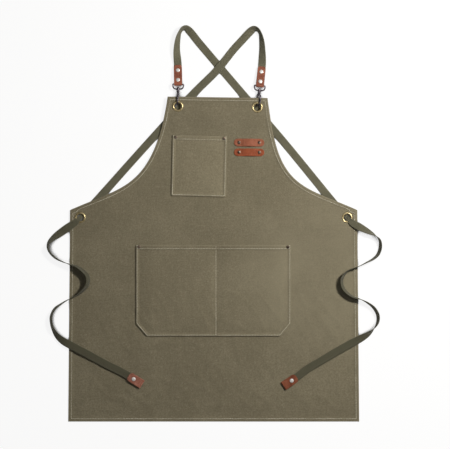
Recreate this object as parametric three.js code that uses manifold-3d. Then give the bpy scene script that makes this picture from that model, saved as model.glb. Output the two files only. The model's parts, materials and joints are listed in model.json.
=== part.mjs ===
// Cross-back canvas apron, laid out flat on its back with its straps crossed above the bib.
//
// Millimetres, +Z up. X runs across the apron and Y from the hem up to the bib. The origin is the middle of
// the skirt on the canvas's underside, which lies on the surface. "left" and "right" are as seen from above.
//
// Each strap is one length of webbing: it is riveted to a swivel snap hook, turns on edge above the bib,
// crosses the other strap, runs down behind the panel, comes up through the waist eyelet and ends as a loose
// waist tie.
import * as THREE from 'three';
import { mergeVertices } from 'three/addons/utils/BufferGeometryUtils.js';
import Module from 'manifold-3d';

const wasm = await Module();
wasm.setup();

// ---------------------------------------------------------------- driving dimensions
const PANEL = { hemHalf: 336, waistHalf: 331.5, bibHalf: 115, waistY: 114.5, halfHeight: 374 };
const BIB_SWAY = { shift: 9, tilt: 0.014 }; // how far the bib lies to one side, and its turn
const CANVAS = 1; // one layer of cloth
const HEM = { width: 8, fold: 1.5, slope: 1.5, corner: 5 }; // edges turned under twice
const WEB = { width: 18, thick: 1.5, gathered: 0.45 }; // gathered: share of the width left inside an eyelet
const STRAP_STEP = { bend: 0.4, roll: 9 }; // a strap's faces: radians of bend and degrees of roll for each
const GAP = 0.3; // between touching pieces
const EYELET = { hole: 7.5, tube: 8.6, flange: 12.8, roll: 10.4, below: 1.5, above: 2 };
const BIB_EYELET = { x: 91.4, y: 352.1 };
const WAIST_EYELET = { x: 307.9, y: 97 };
// Height of the panel's underside along Y: over the pocket rivets, then the straps, then the snap hooks.
const LIFT = [[-374, 0], [4, 0], [22, 1.2], [40, 1.2], [76, 3], [294, 3], [334, 9.7], [374, 9.7]];
const FRONT_POCKET = {
  x: -0.7, top: 34, halfWidth: 179, height: 211, cornerX: 25, cornerY: 29, seamX: 6, belly: 7,
};
const CHEST_POCKET = { x: -31.8, top: 285.7, halfWidth: 63.2, height: 140, turn: -1.4, belly: 5.5 };
const POCKET_RIVET = { inset: 7, drop: 5 };
const SEAM = { width: 11, slope: 12 }; // sewn-down margin round a pocket, and the rise beside it
const TOOL_LOOP = { x: 81.8, length: 69.6, width: 17.6, thick: 1.8, rivetX: 23.4, arch: 5.2, turn: -0.5 };
const TOOL_LOOP_Y = { upper: 270, lower: 247.5 };
const LEATHER = 1.5;
const FOLD = { half: WEB.thick / 2 + GAP + LEATHER / 2, inner: 2.3 }; // leather doubled over webbing
const STRAP_END = { length: 45, width: 18.8, corner: 5, rivets: [9.3, 32.3], slope: 8 };
const TIE_END = { length: 35, width: 20.6, corner: 5, rivet: 14, z: 4.9 };
const CAP = { silver: 4.6, dark: 3.7, thick: 0.8, dome: 1.3, post: 1.2, hole: 1.5 };
const SNAP = {
  z: 9.4, // height of the swivel axis
  eye: { half: 12.4, height: 11.5, wire: 1.6 },
  boss: { radius: 3.4, half: 3, hole: 1.8 },
  shank: 1.5,
  head: { radius: 2.7, thick: 1.6 },
  collar: 8,
  wire: 1.6,
  spine: 7, // leg offsets either side of the swivel axis
  gateSide: -5.8,
  shoulder: 12,
  nose: 25,
  bend: 29,
  hinge: 10.5,
};
const HOOKS = {
  left: { x: -82, y: 392.9, turn: -1.5, roll: 0, leatherTurn: 1.5 },
  right: { x: 105.5, y: 389.5, turn: -5, roll: 30, leatherTurn: -6 },
};

const radians = THREE.MathUtils.degToRad;
const smooth = (t) => THREE.MathUtils.smoothstep(t, 0, 1);
const SIDES = { left: -1, right: 1 };

// ---------------------------------------------------------------- materials
const material = (color, roughness, metalness) => (
  new THREE.MeshStandardMaterial({ color, roughness, metalness })
);
const canvasCloth = material(0x6d6652, 0.9, 0);
const webbing = material(0x585741, 0.85, 0);
const leather = material(0x98492d, 0.55, 0);
const brass = material(0xb09a5c, 0.35, 1);
const darkBrass = material(0x4a4234, 0.4, 1);
const silver = material(0xd9dce0, 0.25, 1);
const gunmetal = material(0x3f3a40, 0.35, 1);

// ---------------------------------------------------------------- solids
const apron = new THREE.Group();

function solidOf(geometry) {
  const bare = geometry.index ? geometry.toNonIndexed() : geometry.clone();
  for (const name of Object.keys(bare.attributes)) {
    if (name !== 'position') bare.deleteAttribute(name);
  }
  const merged = mergeVertices(bare, 1e-3);
  return new wasm.Manifold(new wasm.Mesh({
    numProp: 3,
    vertProperties: new Float32Array(merged.attributes.position.array),
    triVerts: new Uint32Array(merged.index.array),
  }));
}

function geometryOf(solid) {
  const mesh = solid.getMesh();
  return new THREE.BufferGeometry()
    .setAttribute('position', new THREE.BufferAttribute(mesh.vertProperties, 3))
    .setIndex(new THREE.BufferAttribute(mesh.triVerts, 1));
}

const cut = (geometry, ...tools) => geometryOf(
  tools.reduce((left, tool) => left.subtract(solidOf(tool)), solidOf(geometry)),
);
const join = (...parts) => geometryOf(parts.map(solidOf).reduce((whole, part) => whole.add(part)));
const common = (a, b) => geometryOf(solidOf(a).intersect(solidOf(b)));

function addPiece(name, geometry, finish, parent = apron) {
  const mesh = new THREE.Mesh(geometry, finish);
  mesh.name = name;
  parent.add(mesh);
  return mesh;
}

function groupAt(x, y, z, turn = 0, parent = apron) {
  const group = new THREE.Group();
  group.position.set(x, y, z);
  group.rotation.z = radians(turn);
  parent.add(group);
  return group;
}

/** A geometry of a group's own frame, moved to the apron's frame. */
function inApron(geometry, group) {
  apron.updateMatrixWorld(true);
  return geometry.clone().applyMatrix4(group.matrixWorld);
}

/** A turned solid about the Z axis, from [radius, z] points. */
function turned(profile, segments = 20) {
  const points = profile.map(([r, z]) => new THREE.Vector2(r, z));
  return new THREE.LatheGeometry(points, segments).rotateX(Math.PI / 2);
}

/** An upright rod, used for holes. */
function drill(x, y, radius, low = -2, high = 22) {
  return new THREE.CylinderGeometry(radius, radius, high - low, radius > CAP.hole ? 18 : 10)
    .rotateX(Math.PI / 2).translate(x, y, (low + high) / 2);
}

/** A box's grid bent into a sheet: place(row, column) gives x, y and the heights of its two faces. */
function sheet(rows, columns, place) {
  const [across, along] = [columns.length - 1, rows.length - 1];
  const grid = new THREE.BoxGeometry(across, along, 1, across, along, 1)
    .translate(across / 2, along / 2, 0.5);
  const spots = grid.attributes.position;
  for (let i = 0; i < spots.count; i += 1) {
    const row = rows[Math.round(spots.getY(i))];
    const column = columns[Math.round(spots.getX(i))];
    const [x, y, low, high] = place(row, column);
    spots.setXYZ(i, x, y, spots.getZ(i) > 0.5 ? high : low);
  }
  return grid;
}

// ---------------------------------------------------------------- canvas panel
const armhole = new THREE.CubicBezierCurve(
  new THREE.Vector2(PANEL.waistHalf, PANEL.waistY),
  new THREE.Vector2(202, 172),
  new THREE.Vector2(144, 163),
  new THREE.Vector2(PANEL.bibHalf, PANEL.halfHeight),
);

function halfWidthAt(y) {
  if (y <= PANEL.waistY) {
    return THREE.MathUtils.mapLinear(y, -PANEL.halfHeight, PANEL.waistY, PANEL.hemHalf, PANEL.waistHalf);
  }
  let [low, high] = [0, 1];
  for (let i = 0; i < 30; i += 1) {
    const middle = (low + high) / 2;
    if (armhole.getPoint(middle).y < y) low = middle;
    else high = middle;
  }
  return armhole.getPoint(low).x;
}

/** The hem's width measured across the apron, which grows where the edge runs at a slant. */
function hemAcross(y) {
  if (y <= PANEL.waistY - HEM.corner) return HEM.width;
  const nearby = Math.max(y, PANEL.waistY + 1);
  const slant = halfWidthAt(nearby + 0.5) - halfWidthAt(nearby - 0.5);
  return HEM.width * Math.hypot(1, slant);
}

function liftAt(y) {
  const i = Math.max(1, LIFT.findIndex(([knot]) => knot >= y));
  const [[y0, z0], [y1, z1]] = [LIFT[i - 1], LIFT[i]];
  return THREE.MathUtils.mapLinear(THREE.MathUtils.clamp(y, y0, y1), y0, y1, z0, z1);
}

const canvasTop = (y) => liftAt(y) + CANVAS;

/** The bib doesn't lie quite square on the skirt. */
function lay(x, y) {
  const share = smooth((y - PANEL.waistY) / (PANEL.halfHeight - PANEL.waistY));
  return [x + BIB_SWAY.shift * share, y - x * BIB_SWAY.tilt * share];
}

function canvasPanel(holes) {
  const inner = PANEL.halfHeight - HEM.width;
  const rows = [-PANEL.halfHeight, -inner, -inner + HEM.slope, inner - HEM.slope, inner, PANEL.halfHeight];
  LIFT.slice(1, -1).forEach(([y]) => rows.push(y));
  rows.push(PANEL.waistY - HEM.corner, ...armhole.getPoints(20).slice(0, -1).map((point) => point.y));
  rows.sort((a, b) => a - b);
  const columns = [[-1, 0], [-1, 1], [-1, 2], [1, 2], [1, 1], [1, 0]]; // side, and how far in from its edge
  const blank = sheet(rows, columns, (y, [side, depth]) => {
    const inset = [0, hemAcross(y), hemAcross(y) + HEM.slope][depth];
    const [x, laidY] = lay(side * (halfWidthAt(y) - inset), y);
    const folded = depth < 2 || Math.abs(y) >= inner;
    return [x, laidY, liftAt(y), canvasTop(y) + (folded ? HEM.fold : 0)];
  });
  return cut(blank, ...holes);
}

// ---------------------------------------------------------------- eyelets and rivets
const eyelets = {
  left_bib: lay(-BIB_EYELET.x, BIB_EYELET.y),
  right_bib: lay(BIB_EYELET.x, BIB_EYELET.y),
  left_waist: [-WAIST_EYELET.x, WAIST_EYELET.y],
  right_waist: [WAIST_EYELET.x, WAIST_EYELET.y],
};

/** A flanged barrel above and a washer below, with the barrel's end rolled out under the washer. */
function addEyelet(name, [x, y]) {
  const place = groupAt(x, y, canvasTop(y) - CANVAS / 2);
  const { hole, tube, flange, roll, below, above } = EYELET;
  addPiece(`${name}_eyelet`, turned([
    [hole, -below], [roll, -below], [roll, -below + 0.3], [tube, -below + 0.3], [tube, 0.8], [flange, 0.8],
    [flange - 0.5, 1.5], [hole + 3, above], [hole + 0.8, above - 0.3], [hole, above - 1], [hole, -below],
  ], 18), brass, place);
  addPiece(`${name}_eyelet_washer`, turned([
    [tube + GAP, -1], [flange - 0.5, -1], [flange - 0.5, -0.7], [tube + GAP, -0.7], [tube + GAP, -1],
  ], 18), brass, place);
}

/** A double-capped rivet through a stack that reaches from under to over. */
function rivet(radius, under, over) {
  const [low, high] = [under - 0.2, over + 0.2];
  const base = low - CAP.thick;
  return turned([
    [0, base], [radius - 0.4, base], [radius - 0.2, low], [CAP.post, low], [CAP.post, high],
    [radius, high], [radius - 0.2, high + CAP.dome * 0.55], [radius * 0.6, high + CAP.dome * 0.9],
    [0, high + CAP.dome],
  ], 10);
}

// ---------------------------------------------------------------- pockets
/** Cloth sewn down on three sides, with its mouth at the top and its middle standing off the panel. */
function pocket({ halfWidth, height, cornerX = 0, cornerY = 0, seamX, belly }) {
  const risen = SEAM.width + SEAM.slope;
  const cornerTop = Math.max(cornerY, risen) + 6;
  const rows = [0, SEAM.width, risen, cornerTop, height / 2, height].map((up) => up - height);
  const rises = { edge: 0, seam: 0, full: belly };
  const columns = [['edge', -1, 0], ['seam', -1, SEAM.width], ['full', -1, risen]];
  if (seamX !== undefined) {
    columns.push(['full', 0, -SEAM.slope], ['seam', 0, -1], ['seam', 0, 1], ['full', 0, SEAM.slope]);
  }
  columns.push(['full', 1, risen], ['seam', 1, SEAM.width], ['edge', 1, 0]);
  return sheet(rows, columns, (y, [kind, side, inset]) => {
    const up = y + height;
    const narrowed = cornerY ? cornerX * THREE.MathUtils.clamp(1 - up / cornerY, 0, 1) : 0;
    const x = side ? side * (halfWidth - narrowed - inset) : seamX + inset;
    const rise = up <= SEAM.width ? 0 : rises[kind];
    return [x, y, rise, rise + CANVAS];
  });
}

/** Adds a pocket with a rivet at each end of its mouth, and returns the rivets' holes for the panel. */
function addPocket(name, size) {
  const place = groupAt(size.x, size.top, canvasTop(size.top) + HEM.fold * 0.2, size.turn);
  const reach = size.halfWidth - POCKET_RIVET.inset;
  const spots = Object.entries(SIDES).map(([side, sign]) => [side, sign * reach]);
  const holes = spots.map(([, x]) => drill(x, -POCKET_RIVET.drop, CAP.hole, -20));
  addPiece(name, cut(pocket(size), ...holes), canvasCloth, place);
  spots.forEach(([side, x]) => {
    const pin = rivet(CAP.dark, -GAP - CANVAS, CANVAS);
    addPiece(`${name}_rivet_${side}`, pin, darkBrass, place).position.set(x, -POCKET_RIVET.drop, 0);
  });
  return holes.map((hole) => inApron(hole, place));
}

// ---------------------------------------------------------------- leather tool loops
/** A round-ended leather strip whose middle stands up off its two riveted ends. */
function toolLoop() {
  const { length, width, thick, rivetX, arch } = TOOL_LOOP;
  const steps = 24;
  const across = Array.from({ length: steps + 1 }, (_, i) => length * (i / steps - 0.5));
  const strip = sheet([-1, 1], across, (side, x) => {
    const intoEnd = Math.max(0, Math.abs(x) - (length - width) / 2);
    const y = side * Math.max(1, Math.sqrt(Math.max(0, (width / 2) ** 2 - intoEnd ** 2)));
    const rise = arch * smooth((rivetX - 5 - Math.abs(x)) / 10);
    return [x, y, rise, rise + thick];
  });
  return cut(strip, drill(-rivetX, 0, CAP.hole), drill(rivetX, 0, CAP.hole));
}

function addToolLoop(name, y) {
  const place = groupAt(TOOL_LOOP.x, y, canvasTop(y) + GAP, TOOL_LOOP.turn);
  addPiece(name, toolLoop(), leather, place);
  return Object.entries(SIDES).map(([side, sign]) => {
    const pin = rivet(CAP.dark, -GAP - CANVAS, TOOL_LOOP.thick);
    addPiece(`${name}_rivet_${side}`, pin, darkBrass, place).position.x = sign * TOOL_LOOP.rivetX;
    return inApron(drill(sign * TOOL_LOOP.rivetX, 0, CAP.hole, -20), place);
  });
}

// ---------------------------------------------------------------- folded leather ends
/** Turns a profile drawn in Y and Z into a solid of the given width across X. */
function across(shape, width) {
  return new THREE.ExtrudeGeometry(shape, { depth: width, bevelEnabled: false, curveSegments: 8 })
    .rotateX(Math.PI / 2).rotateZ(Math.PI / 2).translate(-width / 2, 0, 0);
}

/** Leather doubled back: its fold is at Y = 0, wraps a bar of radius inner, and opens towards +Y. */
function foldedLeather({ length, width, corner }, inner) {
  const outer = inner + LEATHER;
  const [near, far] = [FOLD.half - LEATHER / 2, FOLD.half + LEATHER / 2];
  const [nearAngle, farAngle] = [Math.asin(near / inner), Math.asin(far / outer)];
  const profile = new THREE.Shape();
  profile.moveTo(length, far);
  profile.absarc(0, 0, outer, farAngle, -farAngle, false);
  profile.lineTo(length, -far);
  profile.lineTo(length, -near);
  profile.absarc(0, 0, inner, -nearAngle, nearAngle, true);
  profile.lineTo(length, near);
  const outline = new THREE.Shape();
  const half = width / 2;
  outline.moveTo(-half, -outer - 1);
  outline.lineTo(half, -outer - 1);
  outline.lineTo(half, length - corner);
  outline.absarc(half - corner, length - corner, corner, 0, Math.PI / 2, false);
  outline.absarc(corner - half, length - corner, corner, Math.PI / 2, Math.PI, false);
  const deep = { depth: 4 * outer, bevelEnabled: false, curveSegments: 3 };
  const plan = new THREE.ExtrudeGeometry(outline, deep);
  return common(across(profile, width), plan.translate(0, 0, -2 * outer));
}

/** Adds a folded leather end and its rivets, and returns the rivets' holes for the webbing. */
function addLeatherEnd(name, size, inner, rivets, place) {
  const stack = FOLD.half + LEATHER / 2;
  const holes = rivets.map((y) => drill(0, y, CAP.hole, -20));
  addPiece(name, cut(foldedLeather(size, inner), ...holes), leather, place);
  rivets.forEach((y, i) => {
    const label = rivets.length > 1 ? `${name}_rivet_${['lower', 'upper'][i]}` : `${name}_rivet`;
    addPiece(label, rivet(CAP.silver, -stack, stack), silver, place).position.y = y;
  });
  return holes.map((hole) => inApron(hole, place));
}

// ---------------------------------------------------------------- webbing
/**
 * One length of webbing through waypoints { x, y, roll, under, share }: roll turns it on edge, under is the
 * height it lies or stands on, and share is how much of its width is left.
 */
function ribbon(waypoints, holes) {
  const line = waypoints.map(({ x, y }) => new THREE.Vector3(x, y, 0));
  const curve = new THREE.CatmullRomCurve3(line, false, 'centripetal');
  const last = waypoints.length - 1;
  const frames = [];
  for (let i = 0; i <= last; i += 1) {
    const [here, next] = [waypoints[i], waypoints[Math.min(i + 1, last)]];
    const bend = curve.getTangent(i / last).angleTo(curve.getTangent(Math.min(i + 1, last) / last));
    const twist = Math.abs(next.roll - here.roll);
    const turns = Math.max(Math.round(bend / STRAP_STEP.bend), Math.ceil(twist / STRAP_STEP.roll));
    const steps = i === last ? 1 : Math.max(1, turns);
    for (let k = 0; k < steps; k += 1) {
      const t = k / steps;
      const roll = radians(THREE.MathUtils.lerp(here.roll, next.roll, t));
      const share = THREE.MathUtils.lerp(here.share ?? 1, next.share ?? 1, smooth(t));
      const under = THREE.MathUtils.lerp(here.under, next.under, t);
      const [rise, flat] = [Math.abs(Math.sin(roll)), Math.abs(Math.cos(roll))];
      const stand = (rise * WEB.width * share + flat * WEB.thick) / 2;
      const centre = curve.getPoint((i + t) / last).setZ(under + GAP / 2 + stand);
      const heading = curve.getTangent((i + t) / last);
      const side = new THREE.Vector3(-heading.y, heading.x, 0).multiplyScalar(Math.cos(roll));
      side.z = Math.sin(roll);
      const up = side.clone().cross(heading).negate();
      frames.push({ centre, side: side.multiplyScalar(share), up });
    }
  }
  const section = new THREE.Shape([[-1, -1], [1, -1], [1, 1], [-1, 1]].map(
    ([u, v]) => new THREE.Vector2(u * WEB.width / 2, v * WEB.thick / 2),
  ));
  const steps = frames.length - 1;
  const band = new THREE.ExtrudeGeometry(section, { depth: steps, steps, bevelEnabled: false });
  const spots = band.attributes.position;
  const spot = new THREE.Vector3();
  for (let i = 0; i < spots.count; i += 1) {
    const frame = frames[Math.round(spots.getZ(i))];
    spot.copy(frame.centre)
      .addScaledVector(frame.side, spots.getX(i))
      .addScaledVector(frame.up, spots.getY(i));
    spots.setXYZ(i, spot.x, spot.y, spot.z);
  }
  return cut(band, ...holes);
}

/** Waypoints that carry webbing from behind the panel up through a waist eyelet, heading at an angle. */
function throughEyelet([x, y], heading) {
  const over = liftAt(y) + CANVAS + HEM.fold;
  const [ux, uy] = [Math.cos(radians(heading)), Math.sin(radians(heading))];
  return [
    [-26, 0, 1], [-6.5, 0, WEB.gathered], [0, 2.75, WEB.gathered], [6.5, over, WEB.gathered],
    [17, over, 0.7],
  ].map(([along, under, share]) => ({ x: x + along * ux, y: y + along * uy, roll: 0, under, share }));
}

const route = (points) => points.map(
  ([x, y, roll = 0, under = 0, share = 1]) => ({ x, y, roll, under, share }),
);
const onHem = CANVAS + HEM.fold;
const overStrap = WEB.thick + GAP;

const ROUTES = {
  left: {
    upper: [[-85, 484, 25], [-82, 512, 70], [-78, 530, 90], [-66, 539, 90], [-52, 522, 55],
      [-36, 502, 15], [-20, 484], [67, 382], [167, 265]],
    heading: -46,
    tie: [[335, 76, 0, 5.5], [356, 64, -20, 2.5], [371, 57, -60], [383, 47, -90], [384, 30, -90],
      [379, 13, -90], [368, 2, -90], [353, -6, -90, 1], [335, -15, -90, onHem], [318, -22, -90, onHem],
      [304, -30, -90, onHem],
      [295, -46, -90, onHem], [297, -62, -90, onHem], [306, -75, -90, onHem], [320, -85, -90, onHem],
      [338, -91, -90, onHem], [354, -99, -90, 1], [369, -111, -90], [378, -127, -90], [378, -143, -90],
      [370, -158, -80], [356, -171, -45, 1.5], [338, -182, -15, onHem], [315, -194, 0, onHem],
      [250, -232, 0, 1], [214, -254, 0, 1]],
    end: [191.5, -271], endHeading: 214,
  },
  right: {
    upper: [[112, 480, -25], [110, 507, -70], [106, 527, -90], [95, 535, -90], [80, 524, -60],
      [66, 508, -20], [45, 484], [24, 457, 0, overStrap], [13, 444, 0, overStrap],
      [2, 431, 0, overStrap], [-48, 382], [-155, 265]],
    heading: 225,
    tie: [[-335, 75, 0, 5.5], [-352, 63, 0, 2.5], [-371, 48, 45], [-383, 36, 90], [-379, 20, 90],
      [-365, 4, 90],
      [-347, -5, 90, 1.5], [-333, -10, 90, onHem], [-317, -15, 90, onHem], [-302, -25, 90, onHem],
      [-292, -35, 90, onHem], [-289, -46, 90, onHem], [-291, -58, 90, onHem], [-302, -72, 90, onHem],
      [-318, -84, 90, onHem], [-335, -92, 90, onHem], [-353, -103, 90, 1], [-367, -114, 90],
      [-375, -132, 90],
      [-374, -147, 90], [-369, -162, 80], [-360, -176, 45, 1], [-346, -188, 15, 2], [-330, -197, 0, onHem],
      [-304, -211, 0, onHem], [-241, -245, 0, 1], [-219, -256, 0, 1]],
    end: [-196.5, -268], endHeading: -32,
  },
};

// ---------------------------------------------------------------- swivel snap hooks
/** The hook lies along -Y from the swivel, with its back bowed towards +Z and its gate towards -Z. */
function hookBody() {
  const { spine, gateSide, shoulder, bend, nose, wire, collar, boss, head } = SNAP;
  const point = (z, down) => new THREE.Vector3(0, -down, z);
  const [middle, radius] = [(spine + gateSide) / 2, (spine - gateSide) / 2];
  const turnPoints = [30, 60, 90, 120, 150].map((angle) => point(
    middle + radius * Math.cos(radians(angle)), bend + radius * Math.sin(radians(angle)),
  ));
  const path = new THREE.CatmullRomCurve3([
    point(0, collar - 2), point(2.5, collar), point(spine - 0.8, shoulder), point(spine, shoulder + 4),
    point(spine, bend - 5), point(spine, bend), ...turnPoints, point(gateSide, bend), point(gateSide, nose),
  ], false, 'centripetal');
  const ring = new THREE.Shape().absarc(0, 0, wire, 0, 2 * Math.PI);
  const sweep = { steps: 26, extrudePath: path, bevelEnabled: false, curveSegments: 3 };
  const hoop = new THREE.ExtrudeGeometry(ring, sweep);
  const start = boss.half + GAP;
  const post = turned([
    [0, -collar], [boss.radius - 0.6, -collar], [boss.radius, -collar + 0.8], [boss.radius, -start],
    [SNAP.shank, -start], [SNAP.shank, start], [head.radius, start], [head.radius - 0.4, start + head.thick],
    [0, start + head.thick],
  ], 12).rotateX(-Math.PI / 2);
  const lug = new THREE.BoxGeometry(1.4, 8, 4.6).translate(0, -SNAP.hinge + 2.4, gateSide + 1.2);
  return cut(join(hoop, post, lug), pinRod(1.1, 3));
}

/** A rod across the hook at the gate's hinge. */
function pinRod(radius, half) {
  return new THREE.CylinderGeometry(radius, radius, 2 * half, 12).rotateZ(Math.PI / 2)
    .translate(0, -SNAP.hinge, SNAP.gateSide);
}

/** The gate straddles the body's lug and reaches down to the hook's nose. */
function gateBar() {
  const { hinge, nose, gateSide, wire } = SNAP;
  const length = nose - 0.5 - hinge;
  const bar = new THREE.BoxGeometry(2 * wire, length, 2 * wire - 0.4)
    .translate(0, -hinge - length / 2, gateSide);
  const cheeks = new THREE.CylinderGeometry(wire + 0.4, wire + 0.4, 4.4, 14).rotateZ(Math.PI / 2)
    .translate(0, -hinge, gateSide);
  const slot = new THREE.BoxGeometry(2.1, 8.4, 6).translate(0, -hinge + 0.6, gateSide);
  return cut(join(bar, cheeks), slot, pinRod(1.1, 4));
}

function gatePin() {
  const head = (side) => new THREE.CylinderGeometry(1.5, 1.5, 0.5, 12).rotateZ(Math.PI / 2)
    .translate(side * 2.75, -SNAP.hinge, SNAP.gateSide);
  return join(pinRod(0.8, 2.8), head(-1), head(1));
}

/** A D-shaped eye: a straight bar for the leather, and a boss that the hook turns in. */
function dEye() {
  const { eye, boss } = SNAP;
  const { half, height, wire } = eye;
  const points = [
    [2.8 - half, height], [0, height], [half - 2.8, height], [half - 0.5, height - 1.2], [half, height - 4],
    [half - 2.2, 2.4], [half - 6, 0.3], [0, 0], [6 - half, 0.3], [2.2 - half, 2.4], [-half, height - 4],
    [0.5 - half, height - 1.2],
  ].map(([x, y]) => new THREE.Vector3(x, y, 0));
  const outline = new THREE.CatmullRomCurve3(points, true, 'centripetal');
  const loop = new THREE.TubeGeometry(outline, 30, wire, 7, true);
  const barrel = new THREE.CylinderGeometry(boss.radius, boss.radius, 2 * boss.half, 18);
  const bore = new THREE.CylinderGeometry(boss.hole, boss.hole, 4 * boss.half, 14);
  return cut(join(loop, barrel), bore);
}

function addSnapHook(side, { x, y, turn, roll }) {
  const swivel = groupAt(x, y, SNAP.z, turn);
  addPiece(`${side}_snap_eye`, dEye(), gunmetal, swivel);
  const rolled = groupAt(0, 0, 0, 0, swivel);
  rolled.rotation.y = radians(roll);
  addPiece(`${side}_snap_hook`, hookBody(), gunmetal, rolled);
  addPiece(`${side}_snap_gate`, gateBar(), gunmetal, rolled);
  addPiece(`${side}_snap_gate_pin`, gatePin(), gunmetal, rolled);
  return new THREE.Vector3(0, SNAP.eye.height, 0).applyMatrix4(inApronMatrix(swivel));
}

function inApronMatrix(group) {
  apron.updateMatrixWorld(true);
  return group.matrixWorld;
}

// ---------------------------------------------------------------- the apron
const holes = [
  ...addPocket('front_pocket', FRONT_POCKET),
  ...addPocket('chest_pocket', CHEST_POCKET),
  ...Object.entries(TOOL_LOOP_Y).flatMap(([level, y]) => addToolLoop(`${level}_tool_loop`, y)),
];
for (const [name, spot] of Object.entries(eyelets)) {
  addEyelet(name, spot);
  holes.push(drill(...spot, EYELET.tube + GAP));
}
addPiece('canvas_panel', canvasPanel(holes), canvasCloth);

for (const [side, path] of Object.entries(ROUTES)) {
  const hook = HOOKS[side];
  const bar = addSnapHook(side, hook);
  const collarEnd = groupAt(bar.x, bar.y, bar.z, hook.leatherTurn);
  collarEnd.rotation.order = 'ZXY';
  collarEnd.rotation.x = -radians(STRAP_END.slope);
  const webHoles = addLeatherEnd(`${side}_strap_end`, STRAP_END, FOLD.inner, STRAP_END.rivets, collarEnd);
  const [endX, endY] = path.end;
  const tie = groupAt(endX, endY, TIE_END.z, path.endHeading + 90);
  const foldInner = FOLD.half - LEATHER / 2 + 0.05;
  const tieFold = groupAt(0, -TIE_END.length, 0, 0, tie);
  const tieRivets = [TIE_END.length - TIE_END.rivet];
  webHoles.push(...addLeatherEnd(`${side}_tie_end`, TIE_END, foldInner, tieRivets, tieFold));
  const inLeather = (along, group) => {
    const spot = new THREE.Vector3(0, along, 0).applyMatrix4(inApronMatrix(group));
    return { x: spot.x, y: spot.y, roll: 0, under: spot.z - WEB.thick / 2 - GAP / 2, share: 1 };
  };
  const eyelet = eyelets[side === 'left' ? 'right_waist' : 'left_waist'];
  addPiece(`${side}_strap`, ribbon([
    inLeather(FOLD.inner + 3.5, collarEnd), inLeather(STRAP_END.length + 2, collarEnd), ...route(path.upper),
    ...throughEyelet(eyelet, path.heading), ...route(path.tie), inLeather(TIE_END.length + 2, tieFold),
    inLeather(FOLD.inner + 1, tieFold),
  ], webHoles), webbing);
}

export default apron;
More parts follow.
